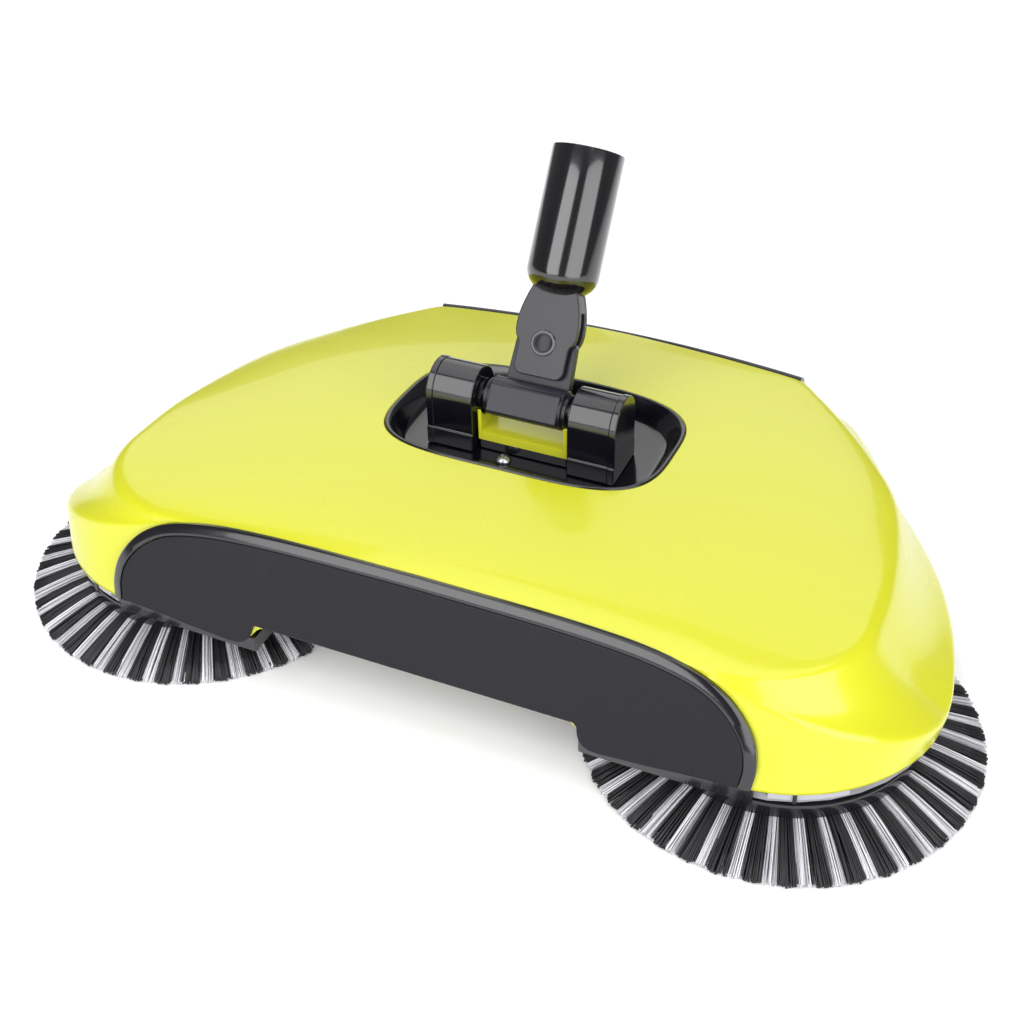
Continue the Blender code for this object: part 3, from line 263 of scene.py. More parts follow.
LIME = lime_gloss()
PANEL = panel_grey()
BLACK = moulded("black gloss", (0.0028, 0.0027, 0.0055), 0.10, 0.20, 120.0, 0.00003, 0.015, 0.4)
SATIN = moulded("dark satin", (0.0070, 0.0068, 0.0135), 0.22, 0.34, 300.0, 0.00004, 0.03, 0.0, 0.33)
GREY = moulded("frame grey", (0.21, 0.21, 0.23), 0.42, 0.58, 900.0, 0.00008)
PALE_GREY = moulded("pale frame grey", (0.33, 0.33, 0.37), 0.35, 0.5, 500.0, 0.00005)
ACETAL = moulded("white acetal", (0.70, 0.70, 0.67), 0.35, 0.5, 300.0, 0.00003)
STEEL = drawn_steel()
SOCKET = moulded("socket black", (0.0018, 0.0017, 0.0040), 0.15, 0.20, 60.0, 0.00002, 0.01, 1.0)
SATIN_BLACK = moulded("fork satin", (0.012, 0.0115, 0.0165), 0.26, 0.36, 200.0, 0.00003, 0.04, 0.0, 0.42)
RUBBER = tyre_rubber()
BLACK_NYLON = nylon("black nylon", (0.0015, 0.0015, 0.0025), (0.0110, 0.0105, 0.0150), 0.5).look
WHITE_NYLON = white_nylon()

# Modelling helpers

TO_METRES = Matrix.Scale(0.001, 4) @ Matrix.Translation((0, -BRUSH_LINE, 0))


def piece(bm, name, look, body, nodes=(), sharp=40.0, smooth=0, wall=0.0, bevel=0.0):
    """Turn millimetre geometry into a finished piece that rides on a body."""
    bmesh.ops.remove_doubles(bm, verts=bm.verts, dist=1e-4)
    bmesh.ops.recalc_face_normals(bm, faces=bm.faces)
    bmesh.ops.transform(bm, matrix=TO_METRES, verts=bm.verts)
    mesh = bpy.data.meshes.new(name)
    bm.to_mesh(mesh)
    bm.free()
    mesh.materials.append(look)
    mesh.shade_smooth()
    mesh.set_sharp_from_angle(angle=math.radians(sharp))
    made = bpy.data.objects.new(name, mesh)
    scene.collection.objects.link(made)
    if smooth:
        step = made.modifiers.new("smooth", "SUBSURF")
        step.levels = step.render_levels = smooth
    if wall:
        step = made.modifiers.new("wall", "SOLIDIFY")
        step.thickness, step.offset = wall * 0.001, -1.0
    if bevel:
        step = made.modifiers.new("edges", "BEVEL")
        step.width, step.segments = bevel * 0.001, 3
        step.limit_method, step.angle_limit = "ANGLE", math.radians(38)
        step.harden_normals = True
    if body:
        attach(made, body)
    if nodes:
        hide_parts(*nodes)
    return made


def cut(made, cutter):
    """Cut a helper's shape out of a piece; the helper is removed afterwards."""
    step = made.modifiers.new("cut", "BOOLEAN")
    step.operation, step.solver, step.object = "DIFFERENCE", "EXACT", cutter
    settle(made)
    bpy.data.objects.remove(cutter)


def settle(made):
    """Apply a piece's modifiers to its mesh."""
    graph = bpy.context.evaluated_depsgraph_get()
    mesh = bpy.data.meshes.new_from_object(made.evaluated_get(graph))
    made.modifiers.clear()
    made.data = mesh


def prism(bm, outline, depth):
    """Extrude a closed list of points along the vector depth; returns the new vertices."""
    verts = [bm.verts.new(point) for point in outline]
    face = bm.faces.new(verts)
    grown = bmesh.ops.extrude_face_region(bm, geom=[face])
    moved = [item for item in grown["geom"] if isinstance(item, bmesh.types.BMVert)]
    bmesh.ops.translate(bm, verts=moved, vec=Vector(depth))
    return verts + moved


def turned(bm, profile, centre, axis, across, steps):
    """Spin a closed profile of (radius, height) pairs about an axis."""
    start, along, out = Vector(centre), Vector(axis), Vector(across)
    verts = [bm.verts.new(start + out * radius + along * height) for radius, height in profile]
    edges = [bm.edges.new((verts[i - 1], verts[i])) for i in range(len(verts))]
    bmesh.ops.spin(
        bm, geom=verts + edges, cent=start, axis=along, angle=2 * math.pi, steps=steps, use_merge=True
    )
    bmesh.ops.remove_doubles(bm, verts=bm.verts, dist=1e-4)


def box(bm, low, high):
    outline = [(low[0], low[1], low[2]), (high[0], low[1], low[2])]
    outline += [(high[0], high[1], low[2]), (low[0], high[1], low[2])]
    return prism(bm, outline, (0, 0, high[2] - low[2]))


def rod(bm, start, end, radius, steps=24):
    start, end = Vector(start), Vector(end)
    along = end - start
    turn = along.to_track_quat("Z", "Y").to_matrix().to_4x4()
    bmesh.ops.create_cone(
        bm, cap_ends=True, segments=steps, radius1=radius, radius2=radius,
        depth=along.length, matrix=Matrix.Translation((start + end) / 2) @ turn,
    )


def skin(bm, loops):
    """Skin a stack of closed loops; returns each loop's vertices."""
    rows, last = [], None
    for loop in loops:
        verts = [bm.verts.new(point) for point in loop]
        edges = [bm.edges.new((verts[i - 1], verts[i])) for i in range(len(verts))]
        if last:
            bmesh.ops.bridge_loops(bm, edges=last + edges)
        rows.append(verts)
        last = edges
    return rows


def smooth_path(points, count):
    """Points read from a Catmull-Rom curve through the given ones."""
    path = [Vector(point) for point in points]
    path = [path[0] * 2 - path[1], *path, path[-1] * 2 - path[-2]]
    spans = len(path) - 3
    found = []
    for step in range(count):
        place_on = spans * step / (count - 1)
        index = min(int(place_on), spans - 1)
        t = place_on - index
        a, b, c, d = path[index : index + 4]
        curve = b * 2 + (c - a) * t + (a * 2 - b * 5 + c * 4 - d) * t * t + (b * 3 - a - c * 3 + d) * t**3
        found.append(curve / 2)
    return found


# The cover


def crown(x, y):
    """Height of the cover's domed deck."""
    return 70.0 - 0.000513 * y * y - 0.00045 * x * x


def front_y(z):
    """The flat, leaning front of the body."""
    return FRONT_Y + FRONT_LEAN * (z - SKIRT_Z)


MOUTH_COLUMN = 4
FRONT_SHARES = (0.0, 0.14, 0.28, 0.41, 0.541, 0.64, 0.76, 0.88)
LOBE_STEPS, SIDE_STEPS, REAR_STEPS = 16, 22, 6
LOBE_POWER = 1.08


def half_loop(front, lobe, side, rear):
    """One level of the body, right half, from the middle of the front round to the back."""
    points = [Vector(front(share)) for share in FRONT_SHARES]
    points += [Vector(lobe(math.radians(90 * step / LOBE_STEPS))) for step in range(LOBE_STEPS)]
    points += smooth_path(side, SIDE_STEPS + 1)[:-1]
    corner, middle = Vector(side[-1]), Vector(rear)
    for step in range(REAR_STEPS + 1):
        t = step / REAR_STEPS
        spot = corner.lerp(middle, t)
        bulge = (1 - (1 - t) ** 2 - t) * 0.6
        spot.y += bulge * (middle.y - corner.y)
        spot.z += bulge * (middle.z - corner.z)
        points.append(spot)
    return points


def whole_loop(half):
    other = [Vector((-point.x, point.y, point.z)) for point in reversed(half[1:-1])]
    return half + other


def skirt_side(inset, z):
    """The body's widest side, from the lobe's end to the rear corner."""
    places = [(183, 0), (182.5, 15), (177.6, 42), (168, 70), (154, 96), (139, 119)]
    places += [(121.5, 150), (106, 170), (90, 174)]
    return [(x - inset, y - inset * 0.5, z) for x, y in places]


def ease(value, low, high):
    """Climb smoothly from 0 at low to 1 at high."""
    t = min(1.0, max(0.0, (value - low) / (high - low)))
    return t * t * (3 - 2 * t)


def bottom_loop():
    """The cover's lower edge; it stands a little higher round the side brushes."""
    def front(share):
        return (BRUSH_X * share, FRONT_Y, SKIRT_Z)

    def lobe(angle):
        across, along = math.sin(angle) ** LOBE_POWER, math.cos(angle) ** LOBE_POWER
        return (BRUSH_X + 57.3 * across, FRONT_Y * along, SKIRT_Z)

    loop = half_loop(front, lobe, skirt_side(1.2, SKIRT_Z), (0, 174.0, SKIRT_Z))
    for point in loop:
        point.z += LOBE_LIFT * ease(point.x, 70.0, 118.0) * (1 - ease(point.y, 30.0, 110.0))
        point.y *= front_y(point.z) / FRONT_Y if point.y < 0 else 1.0
    return loop


def crease_loop():
    """Where the flank meets the upright skirt; it climbs to the crest at the front."""
    top_z, lobe_z, end_z = 64.6, 58.6, CREASE_Z + 2.0

    def front(share):
        z = top_z + (lobe_z - top_z) * share * share
        return (112.0 * share, front_y(z), z)

    def lobe(angle):
        part = angle / (math.pi / 2)
        z = lobe_z + (end_z - lobe_z) * part**0.85
        centre = 112.0 + (BRUSH_X - 112.0) * min(1.0, part * 2)
        x = centre + (183.0 - centre) * math.sin(angle) ** LOBE_POWER
        return (x, front_y(z) * math.cos(angle) ** LOBE_POWER, z)

    side = [Vector(point) for point in skirt_side(0.0, CREASE_Z)]
    side[0].z, side[1].z = end_z, CREASE_Z + 1.0
    return half_loop(front, lobe, side, (0, 175.0, CREASE_Z))


CREST_SIDE = [
    (153.7, 0, 59.8), (153.6, 28, 58.2), (150.2, 56, 55.6), (142.6, 85, 53.6),
    (127.5, 109, 53.4), (109.0, 130.5, 54.4), (88.6, 152.0, 54.6),
]
CREST_LOBE_X = 105.0


def crest_loop():
    """The rounded edge of the deck."""
    top_z, lobe_z, end_z = 66.6, 61.6, 59.8

    def front(share):
        z = top_z + (lobe_z - top_z) * share * share
        return (CREST_LOBE_X * share, front_y(z), z)

    def lobe(angle):
        z = lobe_z + (end_z - lobe_z) * angle / (math.pi / 2)
        reach = CREST_SIDE[0][0] - CREST_LOBE_X
        return (CREST_LOBE_X + reach * math.sin(angle), front_y(lobe_z) * math.cos(angle), z)

    return half_loop(front, lobe, CREST_SIDE, (0, 155.8, 58.0))


def blend_loops(first, second, across, down):
    """A loop between two others; across is the share sideways, down the share in height."""
    found = []
    for a, b in zip(first, second, strict=True):
        spot = a.lerp(b, across)
        spot.z = a.z + (b.z - a.z) * down
        found.append(spot)
    return found


def well_reach(way, grow):
    """Where a line from the well's middle, going a given way, meets its rounded edge."""
    across, along = abs(way.x) / (WELL_A + grow), abs(way.y) / (WELL_B + grow)
    return way * (across**WELL_POWER + along**WELL_POWER) ** (-1 / WELL_POWER)


def cover():
    """The domed shell: skirt, hollow flank, rounded crest, and a deck that ends round the well."""
    bottom, crease, crest = bottom_loop(), crease_loop(), crest_loop()
    halves = [
        bottom,
        blend_loops(bottom, crease, 0.20, 0.20),
        blend_loops(bottom, crease, 0.6, 0.55),
        blend_loops(bottom, crease, 0.93, 0.88),
        blend_loops(crease, crest, 0.035, 0.015),
        blend_loops(crease, crest, 0.30, 0.18),
        blend_loops(crease, crest, 0.58, 0.42),
        blend_loops(crease, crest, 0.84, 0.76),
        blend_loops(crease, crest, 0.965, 0.95),
    ]
    loops = [whole_loop(half) for half in halves]
    flank_rows = len(loops)
    centre = Vector((0.0, WELL_Y, 0.0))
    for share in (0.02, 0.06, 0.16, 0.36, 0.60, 0.80, 0.93, 0.985, 1.0):
        loop = []
        for point in whole_loop(crest):
            flat = Vector((point.x, point.y, 0.0))
            edge = centre + well_reach((flat - centre).normalized(), 0.0)
            spot = flat.lerp(edge, share)
            droop = (crown(point.x, point.y) - point.z) * (1 - share) ** 8
            loop.append(Vector((spot.x, spot.y, crown(spot.x, spot.y) - droop)))
        loops.append(loop)
    bm = bmesh.new()
    rows = skin(bm, loops)
    count = len(loops[0])
    half = len(bottom) - 1
    rear = range(half - REAR_STEPS, half + REAR_STEPS)
    mouth = [column % count for column in range(-MOUTH_COLUMN, MOUTH_COLUMN)]
    gone = [(row, column) for row in range(flank_rows) for column in rear]
    gone += [(0, column) for column in mouth]
    dropped = set()
    for row, column in gone:
        first = {rows[row][column], rows[row][(column + 1) % count]}
        for face in rows[row][column].link_faces:
            if first <= set(face.verts) and rows[row + 1][column] in face.verts:
                dropped.add(face)
    bmesh.ops.delete(bm, geom=list(dropped), context="FACES")
    shell = piece(
        bm, "cover_shell", LIME, ROOT, ("top_cover",), sharp=180.0, smooth=2, wall=2.2
    )
    return shell


def frame_lip():
    """The pale edge of the base frame that shows under the cover round each side brush."""
    path = [point for point in bottom_loop() if 130.0 < point.x < 163.0 and point.y < 0.0]
    section = [(1.5, 23.9), (1.2, 23.5), (1.2, LIP_LOW + 0.4), (1.5, LIP_LOW), (3.4, LIP_LOW), (3.4, 23.9)]
    for side, name in ((-1, "left"), (1, "right")):
        bm = bmesh.new()
        loops = []
        for inset, z in section:
            loop = []
            for index, point in enumerate(path):
                before, after = path[max(index - 1, 0)], path[min(index + 1, len(path) - 1)]
                run = Vector((after.x - before.x, after.y - before.y)).normalized()
                loop.append(bm.verts.new(((point.x - run.y * inset) * side, point.y + run.x * inset, z)))
            loops.append(loop)
        for index in range(len(loops)):
            first, second = loops[index - 1], loops[index]
            for step in range(len(path) - 1):
                bm.faces.new((first[step], first[step + 1], second[step + 1], second[step]))
        for end in (0, -1):
            bm.faces.new([loop[end] for loop in loops])
        piece(bm, f"frame_lip_{name}", PALE_GREY, ROOT, (), sharp=35.0)
        bm = bmesh.new()
        x = CATCH_X * side
        box(bm, (x - 0.7, -52.2, 19.6), (x + 0.7, -49.0, 24.2))
        piece(bm, f"frame_catch_{name}", BLACK, ROOT, (), bevel=0.2)


# The front panel, drawn in the plane of the leaning front


def front_point(x, rise, out):
    """A point of the front plane: x across, rise up from the skirt, out in front of it."""
    slant = math.hypot(1.0, FRONT_LEAN)
    normal = Vector((0.0, -1.0, FRONT_LEAN)) / slant
    return Vector((x, front_y(SKIRT_Z + rise), SKIRT_Z + rise)) + normal * out


def panel_half(inset, count=40):
    """Right half of the panel's top and side, as (x, rise) from the middle to the foot."""
    top = [(0.0, 44.8), (35.0, 44.5), (62.0, 43.9), (85.0, 42.4), (103.0, 39.1), (113.8, 34.5)]
    top += [(121.8, 28.0), (127.6, 19.8), (129.8, 11.0), (129.2, 3.2)]
    found = smooth_path([Vector((x, rise, 0.0)) for x, rise in top], count)
    moved = []
    for index, point in enumerate(found):
        before, after = found[max(index - 1, 0)], found[min(index + 1, len(found) - 1)]
        run = (after - before).normalized()
        moved.append(point + Vector((run.y, -run.x, 0.0)) * inset)
    moved[0].x = 0.0
    return moved


def panel_outline(inset):
    """The plate's whole edge as (x, rise) pairs, with the step of the mouth in its foot."""
    half = panel_half(inset)
    half[-1].y = PLATE_FOOT
    foot = [(half[-1].x, PLATE_FOOT), (121.0, 3.1), (112.0, 2.6), (103.0, 2.0), (94.0, 1.2), (83.0, 0.5)]
    foot += [(75.5, 0.0), (71.5, 0.2), (69.0, 1.2), (67.5, 2.6), (66.6, 4.4), (65.9, 7.4), (64.6, 8.6)]
    right = [(point.x, point.y) for point in half] + foot[1:] + [(0.0, 8.6)]
    left = [(-x, rise) for x, rise in reversed(right[1:-1])]
    return right + left


RIM_WIDTH = 4.3


def front_rim():
    """The glossy rim: a chamfered arch that is open along its foot."""
    bm = bmesh.new()
    section = ((0.3, -0.4), (0.3, 1.5), (0.6, 1.9), (1.2, 2.3), (3.9, 3.0), (4.3, 2.9), (4.3, -0.4))
    rows = []
    for inset, out in section:
        half = panel_half(inset)
        half[-1].y = RIM_FOOT
        line = [front_point(-p.x, p.y, out) for p in reversed(half[1:])]
        line += [front_point(p.x, p.y, out) for p in half]
        rows.append([bm.verts.new(point) for point in line])
    strips = []
    for row in rows:
        strips.append([bm.edges.new(pair) for pair in zip(row, row[1:])])
    for index in range(len(strips)):
        bmesh.ops.bridge_loops(bm, edges=strips[index - 1] + strips[index])
    for end in (0, -1):
        bm.faces.new([row[end] for row in rows])
    piece(bm, "front_rim", BLACK, ROOT, ("front_bezel",), sharp=28.0)


def front_plate():
    """The flat grey plate inside the rim, with a rounded edge."""
    bm = bmesh.new()
    outline = [front_point(x, rise, 0.3) for x, rise in panel_outline(RIM_WIDTH + 0.25)]
    prism(bm, outline, front_point(0, 0, 2.9) - front_point(0, 0, 0.3))
    piece(bm, "front_plate", PANEL, ROOT, ("front_panel",), bevel=0.7)


def front_feet():
    """Black returns behind the plate's feet, which close the body down to the frame."""
    for side, name in ((-1, "left"), (1, "right")):
        bm = bmesh.new()
        outline = [(129.5, -55.4), (66.9, -56.0), (66.2, -55.6), (66.2, -40.0), (66.9, -40.0)]
        outline += [(66.9, -54.2), (129.5, -54.2)]
        prism(bm, [(x * side, y, 17.2) for x, y in outline], (0, 0, 6.6))
        piece(bm, f"front_foot_{name}", BLACK, ROOT, (), bevel=0.15)


# The handle's well and what stands in it


def well_ring(grow, z, count=96):
    """The well's rounded rectangle, grown sideways; a small z is measured from the deck."""
    points = []
    for step in range(count):
        turn = 2 * math.pi * step / count
        across, along = math.cos(turn), math.sin(turn)
        power = 2 / WELL_POWER
        x = (WELL_A + grow) * math.copysign(abs(across) ** power, across)
        y = WELL_Y + (WELL_B + grow) * math.copysign(abs(along) ** power, along)
        points.append(Vector((x, y, crown(x, y) + z if abs(z) < NEAR_DECK else z)))
    return points


def well():
    """The black recess: a thin raised lip, sloping walls and a flat floor."""
    bm = bmesh.new()
    loops = [
        well_ring(-0.35, -2.6), well_ring(-0.35, -0.2), well_ring(-0.5, 0.15), well_ring(-0.9, 0.35),
        well_ring(-1.5, 0.30), well_ring(-2.1, -0.1), well_ring(-3.0, -2.0),
        well_ring(-6.0, WELL_FLOOR + 2.6), well_ring(-6.6, WELL_FLOOR + 1.2),
        well_ring(-7.6, WELL_FLOOR + 0.35), well_ring(-9.5, WELL_FLOOR),
    ]
    rows = skin(bm, loops)
    bm.faces.new(rows[-1])
    made = piece(bm, "well_tray", BLACK, ROOT, ("handle_well",), sharp=50.0, wall=1.4)
    return made


def ear_shape(grow, foot):
    """Side view of a bearing block: straight below a half-round top."""
    radius = EAR_R + grow
    outline = [(-radius - 0.7, foot), (-radius - 0.7, 64.6), (-radius, 65.4)]
    for step in range(33):
        turn = math.pi - math.pi * step / 32
        outline.append((radius * math.cos(turn), TILT_Z + radius * math.sin(turn)))
    return outline + [(radius, 65.4), (radius + 0.7, 64.6), (radius + 0.7, foot)]


def ears():
    """The two bearing blocks: each has a raised band along its outer edge and a boss inside."""
    foot = WELL_FLOOR + 0.3
    for side, name in ((-1, "left"), (1, "right")):
        def slab(label, low, high, grow, rim):
            bm = bmesh.new()
            outline = [(low * side, TILT_Y + y, z) for y, z in ear_shape(grow, foot)]
            prism(bm, outline, ((high - low) * side, 0, 0))
            stands_for = (f"bearing_ear_{name}",) if label == "block" else ()
            piece(bm, f"ear_{label}_{name}", BLACK, ROOT, stands_for, bevel=rim)

        slab("block", EAR_IN, EAR_OUT - 2.6, 0.0, 0.9)
        slab("band", EAR_OUT - 2.9, EAR_OUT, 0.35, 0.8)
        bm = bmesh.new()
        boss = [(PIN_R + 0.2, 0), (6.2, 0), (6.2, 1.2), (5.6, 1.8), (PIN_R + 0.2, 1.8)]
        start = ((EAR_IN - 1.7) * side, TILT_Y, TILT_Z)
        turned(bm, boss, start, (side, 0, 0), (0, 0, 1), 40)
        piece(bm, f"ear_boss_{name}", BLACK, ROOT, (), sharp=30.0)


def saddle():
    """The lime cradle under the bar: a web between two upright flanges, hollowed for the bar."""
    low, web, top, half, flange = 61.8, 66.0, 76.0, 19.2, 1.4
    bm = bmesh.new()
    outline = [(-half, low), (half, low), (half, top), (half - flange, top), (half - flange, web)]
    outline += [(-half + flange, web), (-half + flange, top), (-half, top)]
    prism(bm, [(x, TILT_Y - 8.0, z) for x, z in outline], (0, 16.0, 0))
    made = piece(bm, "saddle", LIME, ROOT, ("bar_saddle",), sharp=30.0)
    bm = bmesh.new()
    rod(bm, (-30, TILT_Y, TILT_Z), (30, TILT_Y, TILT_Z), BAR_R + 0.5, 64)
    cut(made, piece(bm, "saddle_cutter", LIME, None))
    step = made.modifiers.new("edges", "BEVEL")
    step.width, step.segments, step.limit_method = 0.0004, 2, "ANGLE"
    bm = bmesh.new()
    box(bm, (-half + 0.3, TILT_Y - 7.5, WELL_FLOOR + 0.3), (half - 0.3, TILT_Y + 7.5, low - 0.05))
    piece(bm, "saddle_base", BLACK, ROOT, (), bevel=0.4)


def handle_point(x, up, out):
    """A point of the leaning handle: up along it, out in front of the bar's axis."""
    up_way = Vector((0, math.sin(LEAN), math.cos(LEAN)))
    out_way = Vector((0, -math.cos(LEAN), math.sin(LEAN)))
    return Vector((x, TILT_Y, TILT_Z)) + up_way * up + out_way * out


def handle_way(up, out):
    return handle_point(0, up, out) - handle_point(0, 0, 0)


def rounded(centre, radius, start, end, steps):
    found = []
    for step in range(steps + 1):
        turn = math.radians(start + (end - start) * step / steps)
        found.append((centre[0] + radius * math.cos(turn), centre[1] + radius * math.sin(turn)))
    return found


def handle_plate(bm, half_outline, low_out, high_out):
    """A flat plate across the handle, mirrored about its middle."""
    whole = half_outline + [(-x, up) for x, up in reversed(half_outline)]
    prism(bm, [handle_point(x, up, low_out) for x, up in whole], handle_way(0, high_out - low_out))


TONGUE_HALF, CHEEK_GAP, CHEEK_THICK = 2.0, 0.4, 3.0


def cross_bar():
    """The barrel between the ears, with a flat land in front and the tongue that rises from it."""
    bm = bmesh.new()
    bore = PIN_R + 0.2
    profile = [(bore, -BAR_HALF), (6.5, -BAR_HALF), (6.8, -BAR_HALF + 0.3), (6.8, -BAR_HALF + 1.6)]
    profile += [(7.6, -BAR_HALF + 1.8), (BAR_R, -BAR_HALF + 2.3), (BAR_R, BAR_HALF - 2.3)]
    profile += [(7.6, BAR_HALF - 1.8), (6.8, BAR_HALF - 1.6), (6.8, BAR_HALF - 0.3), (6.5, BAR_HALF)]
    profile += [(bore, BAR_HALF)]
    turned(bm, profile, (0, TILT_Y, TILT_Z), (1, 0, 0), (0, 0, 1), 64)
    piece(bm, "barrel", SATIN, "handle_yoke", ("cross_bar",), sharp=30.0)
    bm = bmesh.new()
    land = [(-3.0, -7.2), (6.9, -7.2), (8.2, -6.2), (8.2, 4.6), (7.4, 5.4), (-3.0, 6.2)]
    prism(bm, [handle_point(-14.9, up, out) for out, up in land], (29.8, 0, 0))
    piece(bm, "bar_land", SATIN, "handle_yoke", (), bevel=0.5)
    bm = bmesh.new()
    half = [(14.0, 2.0), (13.8, 4.6), (12.9, 24.2), (12.6, 25.6), (11.6, 26.6), (9.9, SWIVEL_UP + 2.4)]
    half += rounded((0, SWIVEL_UP), 10.0, 16, 90, 10)[:-1]
    handle_plate(bm, half, HANDLE_BACK - TONGUE_HALF, HANDLE_BACK + TONGUE_HALF)
    piece(bm, "tongue", SATIN, "handle_yoke", (), bevel=0.5)
    bm = bmesh.new()
    gusset = [(-6.5 - 2.0, 2.0), (-6.5 + 2.0, 2.0), (-1.8, 5.9), (-6.5 + 2.1, 8.0), (-6.5 - 2.0, 8.0)]
    prism(bm, [handle_point(-12.4, up, out) for out, up in gusset], (24.8, 0, 0))
    piece(bm, "tongue_root", SATIN, "handle_yoke", (), bevel=0.4)


def fork():
    """Two cheeks that clasp the tongue, a neck between them, and the round socket above."""
    spot = handle_point(0, SWIVEL_UP, HANDLE_BACK)
    profile = [(0, 43.6), (4.0, 43.7), (7.5, 44.4), (10.6, 45.9), (12.8, 48.0), (14.1, 50.2), (14.6, 52.0)]
    profile += [(SOCKET_R, 53.5), (SOCKET_R, 101.2), (14.55, 101.5), (14.3, 101.6), (11.6, 101.6)]
    profile += [(11.3, 101.4)]
    profile += [(SOCKET_BORE_R, 100.6), (SOCKET_BORE_R, 57.0), (0, 57.0)]
    bm = bmesh.new()
    turned(bm, [(r, up - SWIVEL_UP) for r, up in profile], spot, handle_way(1, 0), (1, 0, 0), 72)
    piece(bm, "socket", SOCKET, "handle_socket", ("socket_fork",), sharp=32.0)

    half = rounded((7.1, 14.1), 3.5, -90, 0, 8)
    half += [(10.7, 23.0), (11.2, 24.2), (12.2, 25.4), (12.9, 27.6), (13.1, 30.0), (13.0, 33.4), (12.5, 36.6)]
    half += [(11.8, 39.5), (10.9, 42.5), (9.9, 45.2), (9.0, 47.4), (7.5, 50.0)]
    for side, name in ((1, "front"), (-1, "rear")):
        low = HANDLE_BACK + side * (TONGUE_HALF + CHEEK_GAP)
        high = low + side * CHEEK_THICK
        bm = bmesh.new()
        handle_plate(bm, half, low, high)
        piece(bm, f"cheek_{name}", SATIN_BLACK, "handle_socket", (), bevel=0.6)
    bm = bmesh.new()
    neck = [(12.0, 38.5), (11.2, 41.5), (9.6, 45.6), (7.8, 49.6)]
    handle_plate(bm, neck, HANDLE_BACK - TONGUE_HALF - 1.0, HANDLE_BACK + TONGUE_HALF + 1.0)
    piece(bm, "fork_neck", SATIN_BLACK, "handle_socket", (), bevel=0.5)
    bm = bmesh.new()
    ring = [(4.1, -0.2), (5.0, -0.2), (5.2, 0.35), (4.9, 0.6), (4.1, 0.6)]
    face = handle_point(0, SWIVEL_UP, HANDLE_BACK + TONGUE_HALF + CHEEK_GAP + CHEEK_THICK)
    turned(bm, ring, face, handle_way(0, 1), (1, 0, 0), 48)
    piece(bm, "swivel_eye", BLACK, "handle_socket", (), sharp=30.0)
    bm = bmesh.new()
    button = [(0, 0.7), (2.6, 0.6), (3.5, 0.3), (3.8, -0.3), (3.8, -1.5), (PIN_R, -1.5)]
    button += [(PIN_R, -10.6), (0, -10.6)]
    turned(bm, button, face, handle_way(0, 1), (1, 0, 0), 40)
    piece(bm, "swivel_button", SATIN, "handle_yoke", ("swivel_pin",), sharp=30.0)


# Side brushes


def strand(bm, layer, foot, way, across, reach, fan, droop, width, tone):
    """One bristle: a thin three-sided blade that leaves the disc and bends down to the floor."""
    up = Vector((0, 0, 1))
    share_of = (0.0, 0.35, 0.7, 1.0)
    made = bmesh.ops.create_circle(bm, cap_ends=False, segments=3, radius=width)["verts"]
    turn = Matrix((across, up, way)).transposed().to_4x4()
    bmesh.ops.transform(bm, matrix=Matrix.Translation(foot) @ turn, verts=made)
    ring, verts = list({edge for vert in made for edge in vert.link_edges}), list(made)
    for before, share in zip(share_of, share_of[1:]):
        grown = bmesh.ops.extrude_edge_only(bm, edges=ring)["geom"]
        fresh = [item for item in grown if isinstance(item, bmesh.types.BMVert)]
        ring = [item for item in grown if isinstance(item, bmesh.types.BMEdge) and item.is_boundary]
        step = way * reach * (share - before)
        step += across * fan * (share**1.4 - before**1.4)
        step -= up * droop * (share**1.25 - before**1.25)
        bmesh.ops.translate(bm, verts=fresh, vec=step)
        verts += fresh
    bmesh.ops.holes_fill(bm, edges=ring, sides=3)
    for vert in verts:
        vert[layer] = tone


def tuft(bm, layer, dice, strands, spread, width):
    """A bundle of bristles set in one hole of a disc at the origin, fanned out along +X."""
    way, across = Vector((1, 0, 0)), Vector((0, 1, 0))
    lean = dice.uniform(-0.35, 0.35)
    for _ in range(strands):
        side, level = dice.uniform(-1, 1), dice.uniform(0, 1)
        foot = way * (49.6 + dice.uniform(-0.4, 0.4)) + across * side * 1.9
        foot.z = 7.6 + level * 2.0
        tip_z = 0.25 + level * 1.7 + dice.uniform(0, 0.25)
        reach = TIP_R - 49.9 - abs(dice.gauss(0, 0.4)) - abs(side) ** 3 * 0.4
        fan = side * (spread - 1.9) + lean + dice.uniform(-0.45, 0.45)
        strand(bm, layer, foot, way, across, reach, fan, foot.z - tip_z, width, dice.random())


def repeat(bm, geometry, matrices):
    """Copy some geometry to each of the given places, then take the original away."""
    for matrix in matrices:
        made = bmesh.ops.duplicate(bm, geom=geometry)["geom"]
        verts = [item for item in made if isinstance(item, bmesh.types.BMVert)]
        bmesh.ops.transform(bm, matrix=matrix, verts=verts)
    originals = [item for item in geometry if isinstance(item, bmesh.types.BMVert)]
    bmesh.ops.delete(bm, geom=originals, context="VERTS")


TUFT_PAIRS, TUFT_KINDS = 40, 5


